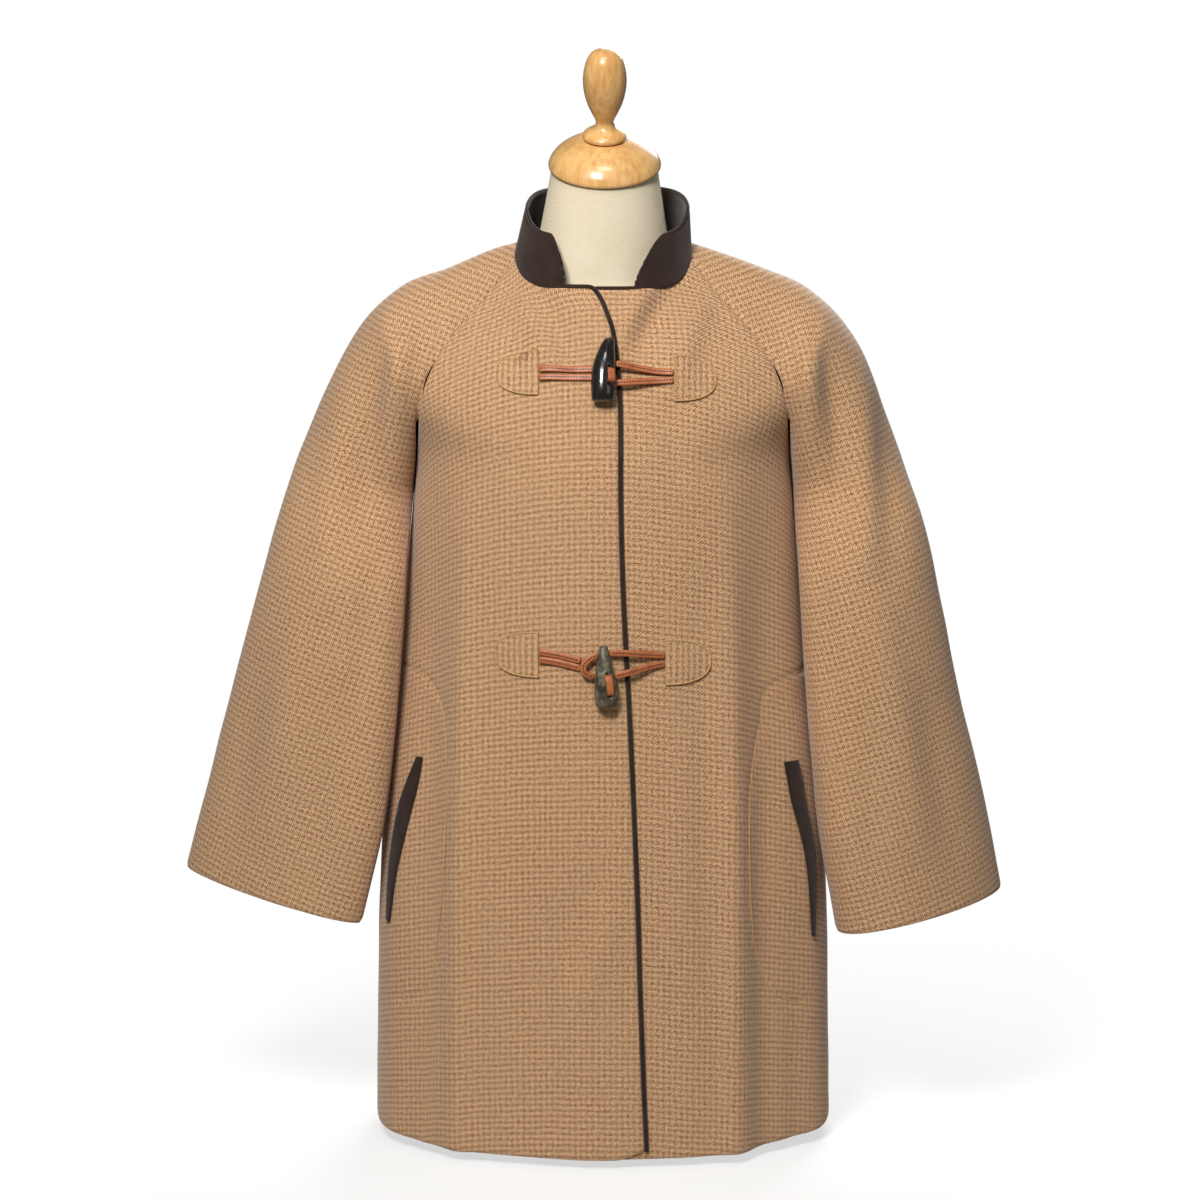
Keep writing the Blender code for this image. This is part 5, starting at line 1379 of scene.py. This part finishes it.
def make_sleeves():
    levels = level_rows(SLEEVE_HEAD_LENGTH, SLEEVE_LENGTH)
    shares = spread(SLEEVE_HALF_WIDTH * 2)
    half = shares[:(len(shares) + 1) // 2] * 2
    half[-1] = 1.0
    for side, sign in SIDE_SIGN.items():
        grid = np.array([sleeve_row(side, level, half) for level in levels])
        reach = (np.array(levels) - 1) / SLEEVE_EASING_REACH
        grid[..., 1] = eased(grid, np.exp(-reach ** 2), SLEEVE_EASING)[..., 1]
        normals = grid_normals(grid) * sign
        flat = sleeve_flat(grid, side, len(half) - 1, np.searchsorted(levels, 1.0))
        run, length = lengths(grid, 1)
        down, drop = lengths(grid, 0)
        front_share = smoothstep(FACING_FROM, FACING_TO, -normals[..., 1])
        back_share = smoothstep(FACING_FROM, FACING_TO, normals[..., 1])
        x, z = grid[..., 0], grid[..., 2]
        height = crease_height(SLEEVE_FRONT_CREASES[side], x, z) * front_share
        height = height + crease_height(SLEEVE_BACK_CREASES[side], x, z) * back_share
        height = height + cloth_wave(grid, WAVE_SEEDS[side]) + fold_profile(drop - down)
        height = height + seam_profile(run) + seam_profile(length - run)
        raised = grid + normals * height[..., None]
        if sign < 0:
            raised, flat = raised[:, ::-1], flat[:, ::-1]
        piece = add_shell(side + "_sleeve", raised, CLOTH, tweed(), flat)
        finish_piece(piece, "tweed", side + "_sleeve")


# ---- collar and edges ----
def smoothed(line, times):
    """The line with its corners eased and its ends kept."""
    for _ in range(times):
        middle = (line[:-2] + line[1:-1] * 2 + line[2:]) / 4
        line = np.concatenate([line[:1], middle, line[-1:]])
    return line


def neckline():
    """The neckline from the right front's collar end, round the back, to the left front's."""
    right_end = across_at_x(FRONT_ROWS, COLLAR_ENDS["right"], 0.0)
    left_end = across_at_x(FRONT_ROWS, COLLAR_ENDS["left"], 0.0)
    across = np.linspace(right_end, -1, NECK_FRONT_PLACES, endpoint=False)
    start = panel_point(FRONT_ROWS, across, 0.0)
    start = start + panel_normal(FRONT_ROWS, across, 0.0) * lap_rise(start[:, 0])[:, None]
    shares = np.linspace(0, 1, NECK_SLEEVE_PLACES)
    behind = np.linspace(-NECK_BACK_END, NECK_BACK_END, NECK_BACK_PLACES)
    onward = np.linspace(1, left_end, NECK_FRONT_PLACES + 1)[1:]
    line = np.concatenate([
        start,
        sleeve_row("right", 0.0, shares),
        panel_point(BACK_ROWS, behind, 0.0),
        sleeve_row("left", 0.0, shares)[::-1],
        panel_point(FRONT_ROWS, onward, 0.0),
    ])
    run = line_lengths(line)
    even = points_along(line, run, np.linspace(0.0, run[-1], round(run[-1] / COLLAR_STEP) + 1))
    return smoothed(even, NECKLINE_ROUNDS)


def collar_grid():
    base = neckline()
    run = line_lengths(base)
    length = run[-1]
    inward = unit(-base * np.array([1, 1, 0]))
    left_share = smoothstep(COLLAR_LEFT_FROM, COLLAR_LEFT_TO, run / length)
    lean = COLLAR_LEAN_IN + (COLLAR_LEFT_LEAN - COLLAR_LEAN_IN) * left_share
    way = unit(np.array([0, -COLLAR_LEAN_FORWARD, 1]) + inward * lean[:, None])
    corner = np.where(run < length / 2, COLLAR_CORNER_WIDTH["right"], COLLAR_CORNER_WIDTH["left"])
    near = np.maximum(0.0, 1 - np.minimum(run, length - run) / corner)
    loss = COLLAR_BACK_LOSS * np.sin(math.pi * run / length) ** 2
    height = COLLAR_HEIGHT - loss - COLLAR_CORNER * near ** 2
    shares = spread(COLLAR_HEIGHT, COLLAR_STEP)
    return base + way * (COLLAR_SEAM + height * shares[:, None])[..., None]


def make_collar():
    """A stand of felted wool with a rolled lip along its free edges."""
    grid = collar_grid()
    normals = grid_normals(grid)
    free_edge = np.concatenate([grid[::-1, 0], grid[-1], grid[:, -1]])
    from_edge = np.min(np.linalg.norm(grid[:, :, None] - free_edge, axis=-1), axis=2)
    groove = (from_edge - COLLAR_LIP) / COLLAR_LIP_GROOVE_WIDTH
    raise_by = cloth_wave(grid, WAVE_SEEDS["collar"]) - COLLAR_LIP_GROOVE * np.exp(-groove * groove)
    edge_share = 1 - smoothstep(0.0, COLLAR_EDGE_WIDTH, from_edge)
    raise_by = raise_by - COLLAR_EDGE_DIP * edge_share ** 2
    piece = add_shell("collar", grid + normals * raise_by[..., None], COLLAR_CLOTH, brown_wool())
    finish_piece(piece, "brown_wool", "collar")


def piping_rings(places):
    """Rounded sections just outside the edge of a panel that the places follow."""
    points = smoothed(np.array([point for point, _ in places]), PIPING_ROUNDS)
    normals = unit(smoothed(np.array([normal for _, normal in places]), PIPING_ROUNDS))
    outward = unit(np.cross(normals, np.gradient(points, axis=0)))
    centres = points + outward * (SEAM_GAP + PIPING_WIDTH / 2) - normals * CLOTH / 2
    return [rounded_section(centre, away * PIPING_WIDTH / 2, normal * PIPING_DEPTH / 2,
                            PIPING_SIDES, PIPING_SQUARENESS)
            for centre, away, normal in zip(centres, outward, normals)]


def neckline_places(start_x, end_x, steps, lapped):
    """Points along the neckline of a front, with their outward directions."""
    places = []
    for x in np.linspace(start_x, end_x, steps, endpoint=False):
        point, normal = front_point(x, 0.0)
        lift = lap_rise(x) if lapped else -UNDER_PIPING_DROP
        places.append((point + normal * lift, normal))
    return places


def make_piping():
    corner = lap_edge_x(FRONT_ROWS[0].centre_z) - PIPING_WIDTH
    places = neckline_places(COLLAR_ENDS["right"] - PIPING_TUCK, corner,
                             PIPING_RIGHT_PLACES, True)
    for level in level_rows(YOKE_LENGTH, SKIRT_LENGTH):
        centre_z = panel_ring(FRONT_ROWS, level)[0].centre_z
        x = lap_edge_x(centre_z) - PIPING_WIDTH
        point, normal = front_point(x, level)
        point = point + normal * lap_rise(x)
        point = point + normal * crease_height(FRONT_CREASES, point[0:1], point[2:3])[0]
        point[2] += HEM_CORNER_LIFT * smoothstep(HEM_CORNER_LEVEL, 2.0, level)
        places.append((point, normal))
    piece = add_tube("lap_piping", piping_rings(places), brown_wool())
    finish_piece(piece, "brown_wool", "lap_piping")

    end = COLLAR_ENDS["left"] + PIPING_TUCK
    places = neckline_places(UNDER_PIPING_START, end, PIPING_LEFT_PLACES, False)
    piece = add_tube("neck_piping", piping_rings(places), brown_wool())
    finish_piece(piece, "brown_wool", "neck_piping")


def make_welts():
    for side, welts in WELTS.items():
        sign = SIDE_SIGN[side]
        length = welts[0].z - welts[-1].z
        rows = []
        for share in spread(length, WELT_STEP):
            z = welts[0].z - length * share
            welt = row_at(welts, z)
            row = []
            for part in np.linspace(0, 1, WELT_PLACES):
                x = sign * (welt.inner_x + (welt.outer_x - welt.inner_x) * part)
                bulge = WELT_BULGE * (1 - (2 * part - 1) ** 4)
                point, _ = front_place(x, z, WELT_GAP + WELT_THICKNESS + bulge)
                row.append(point)
            rows.append(row[::sign])
        piece = add_shell(side + "_pocket_welt", np.array(rows), WELT_THICKNESS, brown_wool())
        finish_piece(piece, "brown_wool", side + "_pocket_welt")


# ---- patches, straps and toggles ----
def patch_outline(patch, shrink=0.0):
    """A letter D lying on its side, drawn in by a distance."""
    sign = 1 if patch.tip_x > 0 else -1
    straight = patch.straight_x + sign * shrink
    reach = abs(patch.tip_x - patch.straight_x) - 2 * shrink
    rise = patch.height / 2 - shrink
    angle = np.linspace(math.pi / 2, -math.pi / 2, PATCH_ROUND_POINTS)
    power = 2 / PATCH_SQUARENESS
    x = straight + sign * reach * np.abs(np.cos(angle)) ** power
    z = patch.z + rise * np.sign(np.sin(angle)) * np.abs(np.sin(angle)) ** power
    side_z = np.linspace(z[-1], z[0], PATCH_STRAIGHT_POINTS)[1:-1]
    x = np.concatenate([x, np.full(len(side_z), straight)])
    z = np.concatenate([z, side_z])
    closed = np.stack([np.append(x, x[0]), np.append(z, z[0])], axis=-1)
    run = line_lengths(closed)
    return points_along(closed, run, np.linspace(0, run[-1], PATCH_POINTS, endpoint=False))


def make_patches():
    for patch in PATCHES:
        centre = np.array([(patch.straight_x + patch.tip_x) / 2, patch.z])
        outline = patch_outline(patch)
        rings, flats = [], []
        for share in PATCH_SHARES:
            ring, flat = [], []
            for x, z in centre + (outline - centre) * share:
                edge = min(1.0, (1 - share) / PATCH_EDGE_SHARE)
                rise = (1 - PATCH_EDGE_HEIGHT) * math.sqrt(1 - (1 - edge) ** 2)
                lift = SEAM_GAP + PATCH_THICKNESS * (PATCH_EDGE_HEIGHT + rise)
                point, _ = front_place(x, z, lift + PATCH_PUFF * (1 - share ** 4), patch.lapped)
                ring.append(point)
                flat.append((z, x))
            rings.append(ring)
            flats.append(flat)
        under = [front_place(x, z, SEAM_GAP * PATCH_UNDER_GAP, patch.lapped)[0] for x, z in outline]
        rings.append(under)
        flats.append(flats[-1])
        piece = add_tube(patch.name, np.array(rings), tweed(), np.array(flats))
        sewn = patch_outline(patch, PATCH_STITCH_INSET)
        line = path_points([*sewn, sewn[0]], PATCH_STITCHES.pitch)
        lift = SEAM_GAP + PATCH_THICKNESS
        stitches = add_stitches(patch.name + "_stitches",
                                surface_places(line, lift, patch.lapped),
                                PATCH_STITCHES, thread("gold_thread", GOLD_THREAD))
        finish_piece(piece, "tweed", patch.name)
        finish_piece(stitches, "tweed")


def surface_places(line, lift, lapped):
    """A point, the line's direction and the outward direction at each place along a line."""
    found = [front_place(x, z, lift, lapped) for x, z in line]
    points = np.array([point for point, _ in found])
    along = unit(np.gradient(points, axis=0))
    return [(point, way, unit(normal - way * normal.dot(way)))
            for point, way, (_, normal) in zip(points, along, found)]


def make_pocket_stitches():
    for side, places in POCKETS.items():
        line = path_points(places, POCKET_STITCHES.pitch)
        piece = add_stitches(side + "_pocket_stitches",
                             surface_places(line, -POCKET_GROOVE * POCKET_STITCH_SINK, False),
                             POCKET_STITCHES, thread("gold_thread", GOLD_THREAD))
        finish_piece(piece, "tweed")


def strap_stitches(name, centres, normals):
    """One line of dark stitches along the middle of a strap's face."""
    run = line_lengths(centres)
    at = np.arange(STRAP_STITCH_START, run[-1] - STRAP_STITCH_STOP, STRAP_STITCHES.pitch)
    points = points_along(centres, run, at)
    outs = points_along(normals, run, at)
    lift = LOOP_THICKNESS / 2 - STRAP_STITCH_SINK
    along = unit(np.gradient(points, axis=0))
    places = [(point + out * lift, way, unit(out - way * out.dot(way)))
              for point, way, out in zip(points, along, unit(outs))]
    piece = add_stitches(name, places, STRAP_STITCHES, thread("dark_thread", STITCH_DARK))
    finish_piece(piece, "leather")


def make_strap(name, centres, normals):
    """A strap of the loops with its line of stitches."""
    piece = add_strap(name, centres, normals, LOOP_WIDTH, LOOP_THICKNESS, leather())
    finish_piece(piece, "leather", name)
    strap_stitches(name + "_stitches", centres, normals)


def make_loops():
    for name, route in LOOPS.items():
        centres, normals = [], []
        for x in np.linspace(route[0].x, route[-1].x, STRAP_STEPS + 1):
            place = row_at(route, float(x))
            centre, normal = front_place(float(x), place.z, place.lift)
            centres.append(centre)
            normals.append(normal)
        make_strap(name, centres, normals)


def make_knot():
    centres, normals = [], []
    for x, z, lift in path_points(KNOT_ROUTE, KNOT_STEP):
        centre, normal = front_place(float(x), float(z), float(lift))
        centres.append(centre)
        normals.append(normal)
    make_strap("loop_knot", smoothed(np.array(centres), KNOT_ROUNDS),
               unit(smoothed(np.array(normals), KNOT_ROUNDS)))


def toggle_section(toggle, height):
    """At a height over a toggle's lower end: the row, the section's centre and the outward
    direction of the front beneath. Toggles don't follow the cloth's creases."""
    row = row_at(toggle.rows, float(height))
    bow = toggle.bow * (1 - (2 * height / toggle.rows[-1].height - 1) ** 2)
    deepest = max(row.half_depth for row in toggle.rows)
    centre, normal = front_point(toggle.x, level_at(toggle.x, toggle.z + height))
    centre = centre + normal * (TOGGLE_BACK_LIFT + deepest + bow)
    return row, centre + np.array([row.shift, 0.0, 0.0]), normal


def face_place(toggle, bridge, height):
    """The place on a toggle's face where its bridge runs, with the ways out and across."""
    row, centre, normal = toggle_section(toggle, height)
    across = np.array([1.0, 0.0, 0.0])
    c, s = math.cos(bridge.angle), math.sin(bridge.angle)
    face = centre + across * c * row.half_width + normal * s * row.half_depth
    return face, unit(across * c / row.half_width + normal * s / row.half_depth)


def make_toggles():
    looks = {"horn": horn, "antler": antler}
    across = np.array([1.0, 0.0, 0.0])
    angle = 2 * math.pi * np.arange(TOGGLE_ROUND) / TOGGLE_ROUND
    for toggle, bridge in zip(TOGGLES, BRIDGES):
        length = toggle.rows[-1].height
        holes = [face_place(toggle, bridge, bridge.z + bridge.height * end - toggle.z)[0]
                 for end in (-0.5, 0.5)]
        rings = []
        for height in spread(length, TOGGLE_STEP) * length:
            row, centre, normal = toggle_section(toggle, float(height))
            ends = min(1.0, min(height, length - height) / TOGGLE_EDGE)
            ease = TOGGLE_END_SIZE + (1 - TOGGLE_END_SIZE) * math.sqrt(ends * (2 - ends))
            ring = (centre + np.outer(np.cos(angle), across) * row.half_width * ease
                    + np.outer(np.sin(angle), normal) * row.half_depth * ease)
            bumps = np.array([noise.noise(Vector(p * TOGGLE_BUMP_SCALE)) for p in ring])
            bumps = bumps * toggle.bumps
            for hole in holes:
                off = np.linalg.norm(ring - hole, axis=1) / HOLE_RADIUS
                bumps = bumps - HOLE_DEPTH * np.exp(-off ** 4)
            rings.append(ring + unit(ring - centre) * bumps[:, None])
        piece = add_tube(toggle.name, rings, looks[toggle.slot]())
        finish_piece(piece, toggle.slot, toggle.name)


def make_bridges():
    """The strap arches out of one hole of its toggle, over the face and into the other."""
    for bridge, toggle in zip(BRIDGES, TOGGLES):
        centres, normals = [], []
        for share in np.linspace(-0.5, 0.5, BRIDGE_PLACES):
            height = bridge.z + bridge.height * float(share) - toggle.z
            face, out = face_place(toggle, bridge, height)
            rise = BRIDGE_RISE * (1 - (2 * abs(share)) ** 4) - BRIDGE_SINK * (2 * abs(share)) ** 6
            centres.append(face + out * (BRIDGE_THICKNESS / 2 + rise))
            normals.append(out)
        centres, normals = np.array(centres), np.array(normals)
        piece = add_strap(bridge.name, centres, normals, bridge.width, BRIDGE_THICKNESS, leather())
        finish_piece(piece, "leather", bridge.name)


# ---- the dress form ----
def coat_ring(level):
    """All round the coat's yoke from the middle of the front: each place's point, its outward
    direction, and how near it is to the middle of the chest or back, from 0 to 1."""
    ring = []
    for side in ("left", "right"):
        sign = SIDE_SIGN[side]
        half = []
        for share in np.linspace(0, 1, FORM_FRONT_STEPS, endpoint=False):
            at = np.array(sign * share)
            half.append((panel_point(FRONT_ROWS, at, level),
                         panel_normal(FRONT_ROWS, at, level), 1 - share / 2))
        shares = np.linspace(0, 1, FORM_SLEEVE_STEPS + 1)
        above, row, below = (sleeve_row(side, level + d, shares)
                             for d in (-NORMAL_STEP, 0, NORMAL_STEP))
        normals = unit(np.cross(below - above, np.gradient(row, axis=0))) * sign
        for c, (point, normal) in enumerate(zip(row, normals)):
            from_top = abs(c - FORM_SLEEVE_STEPS) / FORM_SLEEVE_STEPS
            half.append((point, normal, from_top ** 2 / 2))
        for share in np.linspace(1, 0, FORM_FRONT_STEPS + 1)[1:]:
            at = np.array(sign * share)
            half.append((panel_point(BACK_ROWS, at, level),
                         panel_normal(BACK_ROWS, at, level), 1 - share / 2))
        ring += half[:-1] if side == "left" else half[:0:-1]
    return ring


def neck_axes():
    """The neck's tilted axis, and the two directions across it."""
    axis = np.array([0.0, -math.sin(NECK_TILT), math.cos(NECK_TILT)])
    across = np.array([1.0, 0.0, 0.0])
    return axis, across, np.cross(axis, across)


def make_form():
    axis, across, toward_back = neck_axes()
    top_centre = np.array(CAP_CENTRE) - axis * (CAP_EDGE + SEAM_GAP)
    root, top = [], []
    for point, _, _ in coat_ring(0.0):
        foot = point - unit(point * np.array([1, 1, 0])) * NECK_ROOT_INSET
        angle = math.atan2(foot[1], foot[0])
        root.append(foot)
        top.append(top_centre
                   + (across * math.cos(angle) + toward_back * math.sin(angle)) * NECK_RADIUS)
    root, top = np.array(root), np.array(top)
    rings = [top + (root - top) * share ** NECK_EASE for share in np.linspace(0, 1, NECK_STEPS + 1)]
    for level in np.linspace(FORM_YOKE_TOP, FORM_YOKE_BOTTOM, FORM_YOKE_STEPS):
        rings.append(np.array([
            point - normal * (CLOTH + SEAT_GAP + SEAM_DIP + FORM_FRONT_INSET * near_middle)
            for point, normal, near_middle in coat_ring(float(level))]))
    angles = np.arctan2(rings[-1][:, 1], rings[-1][:, 0])
    for z in np.linspace(FORM_ROWS[0].z, FORM_ROWS[-1].z, FORM_BODY_STEPS):
        row = row_at(FORM_ROWS, float(z))
        depth = np.where(np.sin(angles) < 0, row.front, row.back)
        rings.append(np.stack([row.half_width * np.cos(angles), depth * np.sin(angles),
                               z + row.side_lift * np.cos(angles) ** 2], axis=-1))
    finish_piece(add_tube("form_body", rings, form_cloth()), "form_cloth", "form_body")


def turned(name, profile, look, slot):
    """A turned piece on the neck's tilted axis, on a smooth curve through its profile."""
    axis, across, deep = neck_axes()
    angle = 2 * math.pi * np.arange(TURNED_ROUND) / TURNED_ROUND
    around = np.outer(np.cos(angle), across) + np.outer(np.sin(angle), deep)
    centre = np.array(CAP_CENTRE)
    rings = [centre + axis * height + around * radius
             for radius, height in path_points(profile, TURNED_STEP)]
    tip = centre + axis * profile[-1][1]
    rings.append(tip + (rings[-1] - tip) * TURNED_END_SIZE + axis * TURNED_END_RISE)
    finish_piece(add_tube(name, rings, look), slot, name)


# ---- floor, light and camera ----
def add_light(lamp):
    data = bpy.data.lights.new(lamp.name, "AREA")
    data.shape = "RECTANGLE"
    data.size, data.size_y = lamp.size
    data.energy = lamp.power
    data.color = lamp.tint
    light = bpy.data.objects.new(lamp.name, data)
    light.location = lamp.place
    way = Vector(lamp.target) - light.location
    light.rotation_euler = way.to_track_quat("-Z", "Y").to_euler()
    bpy.context.scene.collection.objects.link(light)


def make_studio():
    world = bpy.data.worlds.new("studio")
    bpy.context.scene.world = world
    world.use_nodes = True
    tree = world.node_tree
    background = tree.nodes["Background"]
    path = tree.nodes.new("ShaderNodeLightPath")
    strength = tree.nodes.new("ShaderNodeMapRange")
    tree.links.new(path.outputs["Is Camera Ray"], strength.inputs["Value"])
    strength.inputs["To Min"].default_value = WORLD_LIGHT
    strength.inputs["To Max"].default_value = 1.0
    tree.links.new(strength.outputs[0], background.inputs["Strength"])
    background.inputs["Color"].default_value = (1, 1, 1, 1)

    for lamp in LAMPS:
        add_light(lamp)

    look = Look("floor", Roughness=0.9, Emission_Color=(1, 1, 1, 1), Emission_Strength=FLOOR_GLOW)
    away = look.node("VectorMath", {0: look.place()}, operation="LENGTH").outputs["Value"]
    look.put(look.shader.inputs["Alpha"],
             look.between(away, FLOOR_SOLID_RADIUS, FLOOR_RADIUS, FLOOR_SOLID, 0.0))
    mottle = look.noise(look.place(), FLOOR_MOTTLE, 1.0)
    look.finish(look.mix(mottle, FLOOR_GREY, FLOOR_PALE))
    rim = [(FLOOR_RADIUS * math.cos(a), FLOOR_RADIUS * math.sin(a), FLOOR_Z)
           for a in np.linspace(0, 2 * math.pi, FLOOR_SIDES, endpoint=False)]
    floor = add_object("floor", rim, [list(range(FLOOR_SIDES))], look.material)


def make_camera():
    data = bpy.data.cameras.new("camera")
    way = CAMERA_TARGET - CAMERA_PLACE
    data.sensor_width = SENSOR
    data.lens = SENSOR * way.length / FRAME_WIDTH
    data.clip_end = CAMERA_REACH
    camera = bpy.data.objects.new("camera", data)
    camera.location = CAMERA_PLACE
    camera.rotation_euler = way.to_track_quat("-Z", "Y").to_euler()
    bpy.context.scene.collection.objects.link(camera)
    bpy.context.scene.camera = camera
    bpy.context.scene.view_settings.view_transform = "Standard"


def main():
    make_camera()
    make_studio()
    make_fronts()
    make_back()
    make_sleeves()
    make_collar()
    make_piping()
    make_welts()
    make_patches()
    make_pocket_stitches()
    make_loops()
    make_knot()
    make_toggles()
    make_bridges()
    make_form()
    turned("neck_cap", CAP_PROFILE, beech(), "beech")
    turned("finial", FINIAL_PROFILE, beech(), "beech")
    for name in ("stand_base", "stand_pole"):
        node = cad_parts[name]
        node.data.materials.clear()
        node.data.materials.append(stand_metal())


main()
